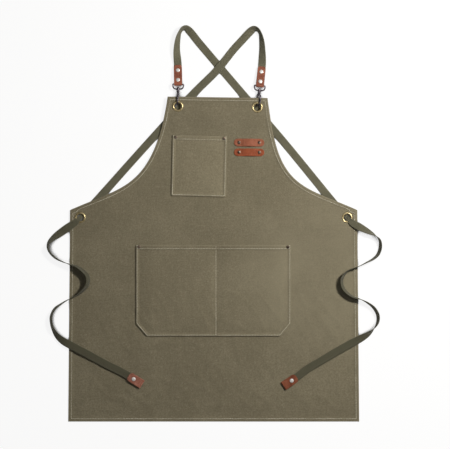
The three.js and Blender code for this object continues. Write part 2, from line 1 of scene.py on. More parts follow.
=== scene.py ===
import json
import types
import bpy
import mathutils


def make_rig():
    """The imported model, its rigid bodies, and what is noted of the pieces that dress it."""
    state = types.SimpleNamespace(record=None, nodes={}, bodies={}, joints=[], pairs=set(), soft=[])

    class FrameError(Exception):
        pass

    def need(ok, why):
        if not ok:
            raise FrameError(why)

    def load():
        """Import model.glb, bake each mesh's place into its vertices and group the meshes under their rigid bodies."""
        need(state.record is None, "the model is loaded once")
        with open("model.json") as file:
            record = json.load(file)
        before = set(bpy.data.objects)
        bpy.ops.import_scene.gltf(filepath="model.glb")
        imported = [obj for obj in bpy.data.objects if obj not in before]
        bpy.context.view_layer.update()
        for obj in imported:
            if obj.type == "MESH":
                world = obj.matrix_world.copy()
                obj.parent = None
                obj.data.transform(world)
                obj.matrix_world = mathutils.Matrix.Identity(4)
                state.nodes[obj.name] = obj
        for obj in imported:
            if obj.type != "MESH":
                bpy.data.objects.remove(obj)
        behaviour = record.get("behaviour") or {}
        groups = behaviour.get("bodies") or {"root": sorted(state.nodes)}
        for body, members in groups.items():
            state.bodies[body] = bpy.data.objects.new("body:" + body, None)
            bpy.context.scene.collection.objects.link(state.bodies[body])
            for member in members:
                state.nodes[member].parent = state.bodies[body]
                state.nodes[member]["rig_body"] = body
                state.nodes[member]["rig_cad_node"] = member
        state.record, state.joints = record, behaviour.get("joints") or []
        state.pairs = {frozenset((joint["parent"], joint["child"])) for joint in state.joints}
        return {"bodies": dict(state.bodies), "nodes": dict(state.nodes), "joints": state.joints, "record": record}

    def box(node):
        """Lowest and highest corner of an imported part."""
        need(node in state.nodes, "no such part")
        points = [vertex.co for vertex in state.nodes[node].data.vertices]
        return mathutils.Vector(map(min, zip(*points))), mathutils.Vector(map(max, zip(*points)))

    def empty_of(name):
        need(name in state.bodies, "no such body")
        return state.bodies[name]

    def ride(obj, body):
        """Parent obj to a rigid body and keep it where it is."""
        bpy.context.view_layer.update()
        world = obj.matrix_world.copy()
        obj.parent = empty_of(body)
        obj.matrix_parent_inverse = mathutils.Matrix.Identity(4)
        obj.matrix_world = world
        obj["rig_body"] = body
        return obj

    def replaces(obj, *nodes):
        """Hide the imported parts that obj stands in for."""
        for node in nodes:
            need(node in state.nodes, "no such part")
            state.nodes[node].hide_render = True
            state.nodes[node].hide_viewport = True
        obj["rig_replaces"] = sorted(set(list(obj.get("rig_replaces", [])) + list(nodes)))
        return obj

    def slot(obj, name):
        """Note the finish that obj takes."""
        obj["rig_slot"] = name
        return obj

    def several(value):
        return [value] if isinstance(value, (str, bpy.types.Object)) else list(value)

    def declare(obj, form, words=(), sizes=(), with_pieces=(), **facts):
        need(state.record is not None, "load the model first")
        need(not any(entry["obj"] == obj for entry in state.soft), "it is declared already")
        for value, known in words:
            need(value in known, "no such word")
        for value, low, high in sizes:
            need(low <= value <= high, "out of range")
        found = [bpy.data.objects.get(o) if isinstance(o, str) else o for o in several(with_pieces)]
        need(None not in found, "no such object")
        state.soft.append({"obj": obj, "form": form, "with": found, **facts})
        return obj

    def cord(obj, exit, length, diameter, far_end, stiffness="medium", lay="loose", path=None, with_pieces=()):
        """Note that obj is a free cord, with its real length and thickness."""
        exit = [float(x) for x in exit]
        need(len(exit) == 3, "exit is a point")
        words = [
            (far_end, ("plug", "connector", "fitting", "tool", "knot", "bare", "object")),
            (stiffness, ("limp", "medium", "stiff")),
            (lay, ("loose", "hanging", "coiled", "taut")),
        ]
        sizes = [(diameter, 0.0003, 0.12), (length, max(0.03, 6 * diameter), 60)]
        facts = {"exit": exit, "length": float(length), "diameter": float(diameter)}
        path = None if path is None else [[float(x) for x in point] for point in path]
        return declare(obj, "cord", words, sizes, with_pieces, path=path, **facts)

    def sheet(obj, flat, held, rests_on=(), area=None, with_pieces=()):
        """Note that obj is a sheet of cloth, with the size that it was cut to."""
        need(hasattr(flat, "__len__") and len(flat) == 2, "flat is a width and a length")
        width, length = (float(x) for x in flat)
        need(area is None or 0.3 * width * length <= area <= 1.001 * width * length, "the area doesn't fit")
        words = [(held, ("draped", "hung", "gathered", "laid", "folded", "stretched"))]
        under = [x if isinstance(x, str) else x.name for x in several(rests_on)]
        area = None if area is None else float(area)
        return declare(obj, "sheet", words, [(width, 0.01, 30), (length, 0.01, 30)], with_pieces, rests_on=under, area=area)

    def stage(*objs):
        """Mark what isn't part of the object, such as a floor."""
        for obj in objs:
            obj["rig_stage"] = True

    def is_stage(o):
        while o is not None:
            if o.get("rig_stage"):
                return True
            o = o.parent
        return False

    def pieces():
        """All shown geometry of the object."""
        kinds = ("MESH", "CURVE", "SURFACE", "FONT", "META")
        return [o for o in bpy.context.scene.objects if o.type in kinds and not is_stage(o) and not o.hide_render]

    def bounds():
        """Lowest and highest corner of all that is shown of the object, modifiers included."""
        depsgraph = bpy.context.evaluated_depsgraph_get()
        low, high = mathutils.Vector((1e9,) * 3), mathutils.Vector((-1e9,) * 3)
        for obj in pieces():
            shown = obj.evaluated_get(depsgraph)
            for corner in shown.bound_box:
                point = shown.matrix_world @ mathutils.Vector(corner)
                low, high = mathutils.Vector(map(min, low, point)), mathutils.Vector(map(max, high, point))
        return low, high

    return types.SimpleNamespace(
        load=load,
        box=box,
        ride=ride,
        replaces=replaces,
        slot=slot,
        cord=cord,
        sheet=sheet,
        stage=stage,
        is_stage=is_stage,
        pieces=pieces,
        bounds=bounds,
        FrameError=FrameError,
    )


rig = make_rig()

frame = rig.load()

import json
import math
import bpy
import numpy as np
from mathutils import Matrix, Vector, noise

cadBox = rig.bounds()
nodes = frame["nodes"]

# Metres, +Z up. The apron lies on its back with its bib towards +Y.

print("camera")
cameraSetup = {"x": 0.0261, "y": 0.0811, "height": 3.2, "width": 1.0395, "sensor": 36}
optics = bpy.data.cameras.new("camera")
optics.sensor_width = cameraSetup["sensor"]
optics.lens = cameraSetup["sensor"] * cameraSetup["height"] / cameraSetup["width"]
optics.clip_end = 20
camera = bpy.data.objects.new("camera", optics)
camera.location = (cameraSetup["x"], cameraSetup["y"], cameraSetup["height"])
bpy.context.scene.collection.objects.link(camera)
bpy.context.scene.camera = camera


def smooth(t):
    t = min(1.0, max(0.0, t))
    return t * t * (3 - 2 * t)


def mix(a, b, t):
    return a + (b - a) * t


def meshPiece(name, points, faces, uv=None):
    mesh = bpy.data.meshes.new(name)
    mesh.from_pydata([tuple(p) for p in points], [], [tuple(f) for f in faces])
    if uv is not None:
        layer = mesh.uv_layers.new(name="UVMap")
        corner = np.zeros(len(mesh.loops), np.int32)
        mesh.loops.foreach_get("vertex_index", corner)
        layer.data.foreach_set("uv", np.asarray(uv, np.float32)[corner].ravel())
    piece = bpy.data.objects.new(name, mesh)
    bpy.context.scene.collection.objects.link(piece)
    for face in mesh.polygons:
        face.use_smooth = True
    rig.ride(piece, "apron")
    return piece


# panel outline, shared by the cloth, the ties and the stitching

panel = {
    "hemHalf": 0.336, "waistHalf": 0.3315, "waistY": 0.1145, "halfHeight": 0.374,
    "curve": [(0.3315, 0.1145), (0.202, 0.172), (0.144, 0.163), (0.115, 0.374)],
    "shift": 0.009, "tilt": 0.014, "cloth": 0.001, "fold": 0.0011,
    "lift": [(-0.374, 0), (0.004, 0), (0.022, 0.0012), (0.04, 0.0012), (0.076, 0.003), (0.294, 0.003),
             (0.334, 0.0097), (0.374, 0.0097)],
}


def armholePoint(t):
    a, b, c, d = (Vector(p) for p in panel["curve"])
    return (1 - t) ** 3 * a + 3 * (1 - t) ** 2 * t * b + 3 * (1 - t) * t * t * c + t ** 3 * d


armhole = np.array([armholePoint(t) for t in np.linspace(0, 1, 400)])


def halfWidth(y):
    if y <= panel["waistY"]:
        along = (y + panel["halfHeight"]) / (panel["waistY"] + panel["halfHeight"])
        return mix(panel["hemHalf"], panel["waistHalf"], along)
    return float(np.interp(y, armhole[:, 1], armhole[:, 0]))


def liftAt(y):
    knots = np.array(panel["lift"])
    soft = [np.interp(y + d, knots[:, 0], knots[:, 1]) for d in (-0.01, -0.005, 0, 0.005, 0.01)]
    return float(np.mean(soft))


# the bib lies a little to one side and turned
def lay(x, y):
    share = smooth((y - panel["waistY"]) / (panel["halfHeight"] - panel["waistY"]))
    return x + panel["shift"] * share, y - x * panel["tilt"] * share


def insideEdge(x, y):
    return min(halfWidth(y) - abs(x), panel["halfHeight"] - abs(y))


# soft creases, flat near the edges and where the ties' leather ends press on the cloth
wrinkles = {
    "height": 0.0012, "broad": 8.0, "fine": 21.0, "crease": 0.0008, "edge": 0.008, "edgeFade": 0.03,
    "pressed": [(0.206, -0.261), (-0.209, -0.261)], "pressedWithin": 0.02, "pressedFade": 0.035,
}


# how much wider than its depth a hem measures across the slanting armhole
def hemScale(y):
    if y <= panel["waistY"] - 0.005:
        return 1.0
    at = max(y, panel["waistY"] + 0.001)
    return math.hypot(1, (halfWidth(at + 0.0005) - halfWidth(at - 0.0005)) / 0.001)


def wrinkleAt(x, y):
    calm = smooth((insideEdge(x, y) - wrinkles["edge"]) / wrinkles["edgeFade"])
    for px, py in wrinkles["pressed"]:
        calm *= smooth((math.hypot(x - px, y - py) - wrinkles["pressedWithin"]) / wrinkles["pressedFade"])
    broad = noise.noise(Vector((x * wrinkles["broad"], y * wrinkles["broad"] * 0.8, 3.1)))
    fine = noise.noise(Vector((x * wrinkles["fine"] + y * 6, y * wrinkles["fine"], 7.7)))
    slant = noise.noise(Vector(((x - y * 1.6) * 5.0, (x * 1.6 + y) * 16.0, 4.2)))
    crease = wrinkles["crease"] * max(0.0, 1 - abs(slant) * 5) ** 2 * smooth((0.05 - y) / 0.2)
    return calm * (crease + wrinkles["height"] * max(0.0, 0.5 + 0.55 * broad + 0.3 * fine))


def topAt(x, y):
    return liftAt(y) + panel["cloth"] + wrinkleAt(x, y)


# webbing straps: one length each, from the snap hook's leather to the tie's leather

print("straps")
webbing = {"width": 0.018, "thick": 0.0015, "step": 0.003, "gathered": 0.5, "gap": 0.00015, "edge": 0.0006}
evener = [0.1, 0.24, 0.32, 0.24, 0.1]  # weights that even out the roll and height along a strap
onHem = 0.0025
onCloth = 0.0005
overStrap = 0.003
routes = {  # x, y, roll in degrees, height of what it lies on, share of the width
    "left": {
        "upper": [(-0.085, 0.484, 36), (-0.0825, 0.508, 52), (-0.0775, 0.5245, 74), (-0.072, 0.532, 70),
                  (-0.0645, 0.5335, 45), (-0.0575, 0.529, 18), (-0.036, 0.503, 0), (-0.020, 0.484),
                  (0.067, 0.382), (0.167, 0.265)],
        "eyelet": (0.3079, 0.097), "heading": -46,
        "tie": [(0.335, 0.076, -14, 0.0055), (0.356, 0.065, -48, 0.0025), (0.371, 0.057, -80),
                (0.382, 0.046, -100),
                (0.384, 0.030, -108), (0.379, 0.013, -106), (0.368, 0.002, -100), (0.353, -0.006, -92, 0.001),
                (0.335, -0.015, -86, onHem), (0.318, -0.022, -80, onHem), (0.304, -0.030, -73, onHem),
                (0.295, -0.046, -67, onHem), (0.297, -0.062, -67, onHem), (0.306, -0.075, -72, onHem),
                (0.320, -0.085, -80, onHem), (0.338, -0.091, -90, onHem), (0.354, -0.099, -99, 0.001),
                (0.369, -0.111, -107), (0.378, -0.127, -109), (0.378, -0.143, -104), (0.370, -0.158, -86),
                (0.356, -0.171, -45, 0.002), (0.338, -0.182, -15, 0.005), (0.315, -0.194, 0, 0.0055),
                (0.250, -0.232, 0, 0.004), (0.214, -0.254, 0, 0.0028)],
        "end": (0.1915, -0.271), "endHeading": 214,
        "hook": (-0.082, 0.3929, -1.5), "leatherTurn": 1.5,
    },
    "right": {
        "upper": [(0.112, 0.480, -36), (0.1105, 0.505, -52), (0.1065, 0.5225, -74), (0.101, 0.530, -70),
                  (0.0936, 0.532, -45), (0.0865, 0.528, -18), (0.066, 0.507, 0), (0.045, 0.484),
                  (0.024, 0.457, 0, overStrap),
                  (0.013, 0.444, 0, overStrap), (0.002, 0.431, 0, overStrap), (-0.048, 0.382),
                  (-0.155, 0.265)],
        "eyelet": (-0.3079, 0.097), "heading": 225,
        "tie": [(-0.335, 0.075, 0, 0.0055), (-0.352, 0.063, 8, 0.0025), (-0.3715, 0.0485, 46),
                (-0.3805, 0.0385, 66), (-0.3825, 0.0275, 74), (-0.3775, 0.0165, 73), (-0.365, 0.004, 75),
                (-0.347, -0.005, 82, 0.0015), (-0.333, -0.010, 90, onHem), (-0.317, -0.015, 98, onHem),
                (-0.302, -0.025, 106, onHem), (-0.292, -0.035, 112, onHem), (-0.289, -0.046, 114, onHem),
                (-0.291, -0.058, 112, onHem), (-0.302, -0.072, 104, onHem), (-0.318, -0.084, 96, onHem),
                (-0.335, -0.092, 88, onHem), (-0.353, -0.103, 79, 0.001), (-0.367, -0.114, 72),
                (-0.375, -0.132, 69), (-0.374, -0.147, 67), (-0.369, -0.162, 60), (-0.360, -0.176, 40, 0.002),
                (-0.346, -0.188, 15, 0.004), (-0.330, -0.197, 0, 0.0055), (-0.304, -0.211, 0, 0.0055),
                (-0.241, -0.245, 0, 0.004), (-0.219, -0.256, 0, 0.0028)],
        "end": (-0.1965, -0.268), "endHeading": -32,
        "hook": (0.1055, 0.3895, -5), "leatherTurn": -6,
    },
}
strapEnd = {
    "barUp": 0.0115, "barHeight": 0.0094, "length": 0.045, "width": 0.0188, "slope": 8, "thick": 0.0015,
    "half": 0.0018, "inner": 0.0023, "corner": 0.005, "rivets": [0.0093, 0.0323],
}
tieEnd = {
    "height": 0.0049, "length": 0.035, "width": 0.0206, "thick": 0.0015, "half": 0.0018, "inner": 0.0011,
    "corner": 0.0075, "rivets": [0.021],
}


def turned(degrees, axis="Z"):
    return Matrix.Rotation(math.radians(degrees), 4, axis)


def leatherPlaces(side):
    route = routes[side]
    x, y, turn = route["hook"]
    swivel = Matrix.Translation((x, y, strapEnd["barHeight"])) @ turned(turn)
    bar = swivel @ Vector((0, strapEnd["barUp"], 0))
    upper = Matrix.Translation(bar) @ turned(route["leatherTurn"]) @ turned(-strapEnd["slope"], "X")
    tie = Matrix.Translation((*route["end"], tieEnd["height"])) @ turned(route["endHeading"] + 90)
    return upper, tie @ Matrix.Translation((0, -tieEnd["length"], 0))


def strapWaypoints(side):
    route = routes[side]
    upper, tie = leatherPlaces(side)
    under = webbing["thick"] / 2 + webbing["gap"]

    def inLeather(along, place):
        spot = place @ Vector((0, along, 0))
        return (spot.x, spot.y, 0, spot.z - under, 1)

    def filled(point):
        return tuple(point) + (0, 0, 1)[len(point) - 2:]

    ex, ey = route["eyelet"]
    ux, uy = math.cos(math.radians(route["heading"])), math.sin(math.radians(route["heading"]))
    # up through the eyelet: distance along the heading, height, share of the width
    through = [(-0.026, 0, 1), (-0.0065, 0, 0.46), (0, 0.00275, webbing["gathered"]), (0.0065, 0.0055, 0.6),
               (0.017, 0.0055, 0.85)]
    return [
        inLeather(strapEnd["inner"] + 0.0035, upper), inLeather(strapEnd["length"] + 0.002, upper),
        *[filled(p) for p in route["upper"]],
        *[(ex + d * ux, ey + d * uy, 0, z, share) for d, z, share in through],
        *[filled(p) for p in route["tie"]],
        inLeather(tieEnd["length"] + 0.002, tie), inLeather(tieEnd["inner"] + 0.0015, tie),
    ]


# a spot and heading on the smooth curve through the points, t of the way from point i to the next
def throughPoints(points, i, t):
    p1, p2 = points[i], points[i + 1]
    p0 = points[i - 1] if i > 0 else 2 * p1 - p2
    p3 = points[i + 2] if i + 2 < len(points) else 2 * p2 - p1
    d0, d1, d2 = (max(1e-6, (b - a).length ** 0.5) for a, b in ((p0, p1), (p1, p2), (p2, p3)))
    m1 = ((p1 - p0) / d0 - (p2 - p0) / (d0 + d1) + (p2 - p1) / d1) * d1
    m2 = ((p2 - p1) / d1 - (p3 - p1) / (d1 + d2) + (p3 - p2) / d2) * d1
    spot = p1 + m1 * t + (3 * (p2 - p1) - 2 * m1 - m2) * t * t + (2 * (p1 - p2) + m1 + m2) * t ** 3
    heading = m1 + 2 * (3 * (p2 - p1) - 2 * m1 - m2) * t + 3 * (2 * (p1 - p2) + m1 + m2) * t * t
    return spot, heading.normalized()


# centre, direction across, direction up and share of the width, every few millimetres along a strap
def strapRings(side):
    ways = strapWaypoints(side)
    firstTie = len(ways) - 2 - len(routes[side]["tie"])
    points = [Vector(w[:2]) for w in ways]
    rows = []
    for i in range(len(ways) - 1):
        steps = max(1, round((points[i + 1] - points[i]).length / webbing["step"]))
        for k in range(steps + (i == len(ways) - 2)):
            t = k / steps
            spot, heading = throughPoints(points, i, t)
            roll, under, share = (mix(a, b, smooth(t) if n == 2 else t) for n, (a, b)
                                  in enumerate(zip(ways[i][2:], ways[i + 1][2:])))
            if i >= firstTie and abs(spot.x) < halfWidth(spot.y) + 0.004:
                under = max(under, topAt(spot.x, spot.y) + onCloth)
            rows.append((spot, heading, roll, under, share))
    # the roll and height change at an even pace, without a kink at each waypoint
    for pick in (2, 3):
        values = np.array([row[pick] for row in rows])
        even = np.convolve(np.pad(values, 2, mode="edge"), evener, mode="valid")
        rows = [row[:pick] + (float(v),) + row[pick + 1:] for row, v in zip(rows, even)]
    rings = []
    for spot, heading, roll, under, share in rows:
        angle = math.radians(roll)
        stand = abs(math.sin(angle)) * webbing["width"] * share + abs(math.cos(angle)) * webbing["thick"]
        centre = Vector((spot.x, spot.y, under + webbing["gap"] + stand / 2))
        across = Vector((-heading.y * math.cos(angle), heading.x * math.cos(angle), math.sin(angle)))
        up = Vector((heading.x, heading.y, 0)).cross(across)
        rings.append((centre, across, up, share))
    return rings


def strapSection():
    half, thick, edge = webbing["width"] / 2, webbing["thick"] / 2, webbing["edge"]
    count = 8  # shallow ribs across the width
    top = [(mix(half - edge, edge - half, k / count), thick * (1 - 0.12 * (k % 2)))
           for k in range(count + 1)]
    bottom = [(-u, -v) for u, v in top]
    return [(half, 0), *top, (-half, 0), *bottom]


def buildStrap(side):
    rings = strapRings(side)
    section = strapSection()
    points, uv, faces = [], [], []
    along, last = 0.0, rings[0][0]
    count = len(section)
    for centre, across, up, share in rings:
        along += (centre - last).length
        last = centre
        cup = 0.35 * (1 - share) * webbing["width"]
        for u, v in section:
            bow = cup * (u / (webbing["width"] / 2)) ** 2 - cup * 0.5
            points.append(centre + across * (u * share) + up * (v + max(0.0, bow) * 0.6))
            uv.append((u, along))
    for i in range(len(rings) - 1):
        for k in range(count):
            a, b = i * count + k, i * count + (k + 1) % count
            faces.append((a, a + count, b + count, b))
    faces.append(tuple(range(count)))
    faces.append(tuple(reversed(range((len(rings) - 1) * count, len(rings) * count))))
    strap = meshPiece(f"{side}_webbing_strap", points, faces, uv=uv)
    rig.replaces(strap, f"{side}_strap")
    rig.slot(strap, f"{side}_strap")
    path = [tuple(ring[0]) for ring in rings]
    return strap, path, along


straps = {side: buildStrap(side) for side in routes}
for side, (strap, path, length) in straps.items():
    print(side, "strap", round(length, 3), "m")


# canvas panel, one sheet with its edges turned under twice

print("canvas panel")


def cloth(name, rows, columns, place):
    points, faces = [], []
    nr, nc = len(rows), len(columns)
    for row in rows:
        for column in columns:
            x, y, high, low = place(row, column)
            points += [(x, y, high), (x, y, low)]

    def at(i, j, under):
        return 2 * (i * nc + j) + under

    for i in range(nr - 1):
        for j in range(nc - 1):
            faces.append((at(i, j, 0), at(i, j + 1, 0), at(i + 1, j + 1, 0), at(i + 1, j, 0)))
            faces.append((at(i, j, 1), at(i + 1, j, 1), at(i + 1, j + 1, 1), at(i, j + 1, 1)))
        faces.append((at(i, 0, 1), at(i, 0, 0), at(i + 1, 0, 0), at(i + 1, 0, 1)))
        faces.append((at(i, nc - 1, 0), at(i, nc - 1, 1), at(i + 1, nc - 1, 1), at(i + 1, nc - 1, 0)))
    for j in range(nc - 1):
        faces.append((at(0, j, 1), at(0, j + 1, 1), at(0, j + 1, 0), at(0, j, 0)))
        faces.append((at(nr - 1, j, 0), at(nr - 1, j + 1, 0), at(nr - 1, j + 1, 1), at(nr - 1, j, 1)))
    return meshPiece(name, points, faces)


def edgeWear(piece, worn):
    layer = piece.data.attributes.new("wear", "FLOAT", "POINT")
    values = [worn(v.co.x, v.co.y) for v in piece.data.vertices]
    layer.data.foreach_set("value", np.array(values, np.float32))


# distances in from an edge at which the cloth has a row of points
insets = [0, 0.0003, 0.0008, 0.0016, 0.003, 0.0045, 0.006, 0.0075, 0.0085, 0.0095, 0.011]


roundedWithin = 0.0016
hem = {"seam": 0.0068, "width": 0.006, "groove": 0.00035, "grooveHalf": 0.0012, "worn": 0.0022}
panelGrid = {"step": 0.0045, "closeStep": 0.002, "closeFrom": 0.10, "closeTo": 0.16, "columns": 128}


def spread(low, high, step):
    count = max(2, round((high - low) / step) + 1)
    return list(np.linspace(low, high, count))


# half thickness near a folded edge, where the cloth rounds off
def turnedEdge(depth, half):
    return half * math.sqrt(max(0.0, 1 - (1 - min(1.0, depth / roundedWithin)) ** 2))


def panelRows():
    g, end = panelGrid, panel["halfHeight"]
    inner = end - insets[-1]
    rows = [-end + d for d in insets] + spread(-inner, g["closeFrom"], g["step"])[1:]
    rows += spread(g["closeFrom"], g["closeTo"], g["closeStep"])[1:]
    rows += spread(g["closeTo"], inner, g["step"])[1:]
    return rows + [end - d for d in reversed(insets[:-1])]


def panelPlace(y, column):
    side, depth, across = column
    scale = hemScale(y)
    if side:
        x = side * (halfWidth(y) - depth * scale)
    else:
        x = across * (halfWidth(y) - insets[-1] * scale)
        depth = insets[-1] + (1 - abs(across)) * 0.1
    depth = min(depth, panel["halfHeight"] - abs(y))
    laidX, laidY = lay(x, y)
    folded = 1 - smooth((depth - hem["width"]) / hem["width"])
    groove = hem["groove"] * math.exp(-((depth - hem["seam"]) / hem["grooveHalf"]) ** 2)
    thick = panel["cloth"] + panel["fold"] * folded
    low = liftAt(y) + wrinkleAt(x, y)
    half = turnedEdge(depth, thick / 2)
    middle = low + thick / 2
    return laidX, laidY, middle + half - groove, middle - half


panelColumns = [(-1, d, 0) for d in insets]
panelColumns += [(0, 0, a) for a in np.linspace(-1, 1, panelGrid["columns"] + 2)[1:-1]]
panelColumns += [(1, d, 0) for d in reversed(insets)]
canvas = cloth("canvas_cloth", panelRows(), panelColumns, panelPlace)


def panelWear(x, y):
    return math.exp(-(max(0.0, insideEdge(x, y)) / hem["worn"]) ** 2)


def deselect():
    if bpy.context.object and bpy.context.object.mode != "OBJECT":
        bpy.ops.object.mode_set(mode="OBJECT")
    bpy.ops.object.select_all(action="DESELECT")


# the eyelets' places come from the frame; their holes are cut through the cloth
eyelets = {}
for label in ("left_bib", "right_bib", "left_waist", "right_waist"):
    low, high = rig.box(f"{label}_eyelet")
    eyelets[label] = ((low.x + high.x) / 2, (low.y + high.y) / 2)
punchRadius = 0.0084
punches = []
deselect()
for x, y in eyelets.values():
    bpy.ops.mesh.primitive_cylinder_add(vertices=40, radius=punchRadius, depth=0.05, location=(x, y, 0.01))
    punches.append(bpy.context.object)
for punch in punches:
    punch.select_set(True)
bpy.ops.object.join()
allPunches = bpy.context.object
deselect()
canvas.select_set(True)
bpy.context.view_layer.objects.active = canvas
cutter = canvas.modifiers.new("eyelet_holes", "BOOLEAN")
cutter.operation = "DIFFERENCE"
cutter.solver = "EXACT"
cutter.object = allPunches
bpy.ops.object.modifier_apply(modifier=cutter.name)
bpy.data.objects.remove(allPunches)
edgeWear(canvas, panelWear)
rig.replaces(canvas, "canvas_panel")
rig.slot(canvas, "canvas_panel")

# pockets

print("pockets")
frontPocket = {
    "name": "front_pocket", "x": -0.0007, "top": 0.034, "half": 0.179, "height": 0.211, "cornerX": 0.025,
    "cornerY": 0.029, "turn": 0, "seam": 0.006, "belly": 0.0032, "hem": 0.0085,
}
chestPocket = {
    "name": "chest_pocket", "x": -0.0318, "top": 0.2857, "half": 0.0632, "height": 0.140, "cornerX": 0.0025,
    "cornerY": 0.0025, "turn": -1.4, "seam": None, "belly": 0.0026, "hem": 0.0085,
}
pocketSeam = {"inset": 0.0030, "soft": 0.02, "gap": 0.0009, "layers": 1.4, "groove": 0.0003, "worn": 0.0018}
pocketRivet = {"inset": 0.0075, "drop": 0.0048, "above": 0.0004}


def pocketOutline(p, inset=0.0):
    w, h, cx, cy = p["half"] - inset, p["height"] - inset, p["cornerX"], p["cornerY"]
    cut = inset * 0.41
    return [(-w, 0), (-w, cy + cut - p["height"]), (cx + cut - p["half"], -h), (p["half"] - cx - cut, -h),
            (w, cy + cut - p["height"]), (w, 0)]


def distanceTo(x, y, a, b):
    ax, ay = a
    dx, dy = b[0] - ax, b[1] - ay
    t = min(1.0, max(0.0, ((x - ax) * dx + (y - ay) * dy) / (dx * dx + dy * dy)))
    return math.hypot(x - ax - t * dx, y - ay - t * dy)


def fromPocket(p, x, y):
    c, s = math.cos(math.radians(p["turn"])), math.sin(math.radians(p["turn"]))
    return p["x"] + x * c - y * s, p["top"] + x * s + y * c


def pocketHeights(p, x, y):
    line = pocketOutline(p)
    sewn = min(distanceTo(x, y, a, b) for a, b in zip(line, line[1:]))
    seamGap = abs(x - p["seam"]) if p["seam"] is not None else 1.0
    depth = min(sewn, seamGap + 0.004)
    rise = p["belly"] * (1 - math.exp(-max(0.0, depth - 0.0075) / pocketSeam["soft"]))
    topHem = 0.8 - 0.8 * smooth((-y - p["hem"] + 0.001) / 0.004)
    folded = max(1 - smooth((sewn - 0.003) / 0.006), topHem)
    thick = panel["cloth"] * (1 + pocketSeam["layers"] * folded)
    groove = pocketSeam["groove"] * (math.exp(-((sewn - pocketSeam["inset"]) / 0.0008) ** 2)
                       + math.exp(-((-y - p["hem"]) / 0.0008) ** 2) + math.exp(-(seamGap / 0.0009) ** 2))
    wx, wy = fromPocket(p, x, y)
    ripple = 0.0005 * noise.noise(Vector((wx * 30, wy * 22, 1.3))) * smooth(depth / 0.02)
    low = topAt(wx, wy) + pocketSeam["gap"] + max(0.0, rise + ripple)
    half = turnedEdge(min(sewn, -y), thick / 2)
    return low + thick / 2 + half - groove, low + thick / 2 - half


def buildPocket(p):
    h = p["height"]
    low = [-h + d for d in insets[:8]] + spread(-h + insets[7], -h + 0.034, 0.0035)[1:]
    rows = low + spread(-h + 0.034, -insets[-1], 0.004)[1:] + [-d for d in reversed(insets[:-1])]
    count = round(p["half"] * 2 / 0.0035)
    marks = set(np.linspace(-1, 1, count)[1:-1])
    if p["seam"] is not None:
        marks |= {(p["seam"] + d) / (p["half"] - insets[-1]) for d in (-0.002, -0.001, 0, 0.001, 0.002)}
    columns = [(-1, d, 0) for d in insets] + [(0, 0, a) for a in sorted(marks)]
    columns += [(1, d, 0) for d in reversed(insets)]

    def place(y, column):
        side, inset, across = column
        up = y + h
        narrow = p["cornerX"] * max(0.0, 1 - up / p["cornerY"])
        half = p["half"] - narrow
        x = side * (half - inset) if side else across * (half - insets[-1])
        high, under = pocketHeights(p, x, y)
        return (*fromPocket(p, x, y), high, under)

    piece = cloth(p["name"] + "_cloth", rows, columns, place)
    line = pocketOutline(p)

    def worn(wx, wy):
        turn = math.radians(-p["turn"])
        dx, dy = wx - p["x"], wy - p["top"]
        x, y = dx * math.cos(turn) - dy * math.sin(turn), dx * math.sin(turn) + dy * math.cos(turn)
        inside = min(-y, *(distanceTo(x, y, a, b) for a, b in zip(line, line[1:])))
        return math.exp(-(inside / pocketSeam["worn"]) ** 2)

    edgeWear(piece, worn)
    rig.replaces(piece, p["name"])
    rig.slot(piece, p["name"])
    return piece


pockets = {p["name"]: buildPocket(p) for p in (frontPocket, chestPocket)}

# stitching: every stitch is a short rounded length of thread

print("stitching")
stitch = {"pitch": 0.0036, "length": 0.0030, "width": 0.0014, "height": 0.0009, "sunk": 0.0004}


def evenly(points, pitch, closed=False):
    line = [Vector(p) for p in points] + ([Vector(points[0])] if closed else [])
    lengths = [(b - a).length for a, b in zip(line, line[1:])]
    count = max(2, round(sum(lengths) / pitch))
    spots, i, gone = [], 0, 0.0
    for k in range(count):
        want = (k + 0.5) / count * sum(lengths)
        while i < len(lengths) - 1 and gone + lengths[i] < want:
            gone += lengths[i]
            i += 1
        t = (want - gone) / lengths[i]
        spots.append((line[i].lerp(line[i + 1], t), (line[i + 1] - line[i]).normalized()))
    return spots


def sew(name, spots, slot):
    sides = 6
    ring = [(math.cos(a), math.sin(a)) for a in np.linspace(0, 2 * math.pi, sides + 1)[:-1]]
    stations = [(-0.5, 0.35), (-0.36, 0.85), (0, 1), (0.36, 0.85), (0.5, 0.35)]
    points, faces = [], []
    for n, (spot, heading) in enumerate(spots):
        sway = 0.06 * math.sin(n * 2.4) + 0.05 * math.sin(n * 0.73)
        along = Vector((heading.x * math.cos(sway) - heading.y * math.sin(sway),
                        heading.x * math.sin(sway) + heading.y * math.cos(sway), heading.z)).normalized()
        across = Vector((-along.y, along.x, 0)).normalized()
        up = along.cross(across)
        base = len(points)
        for s, share in stations:
            centre = spot + along * (s * stitch["length"]) + up * (stitch["height"] * (0.15 * share - 0.1))
            wide, tall = share * stitch["width"] / 2, share * stitch["height"] / 2
            points += [centre + across * (c * wide) + up * (d * tall) for c, d in ring]
        for i in range(len(stations) - 1):
            for k in range(sides):
                a, b = base + i * sides + k, base + i * sides + (k + 1) % sides
                faces.append((a, a + sides, b + sides, b))
        faces.append(tuple(base + k for k in range(sides)))
        faces.append(tuple(base + len(stations) * sides - 1 - k for k in range(sides)))
    piece = meshPiece(name, points, faces)
    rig.slot(piece, slot)
    return piece


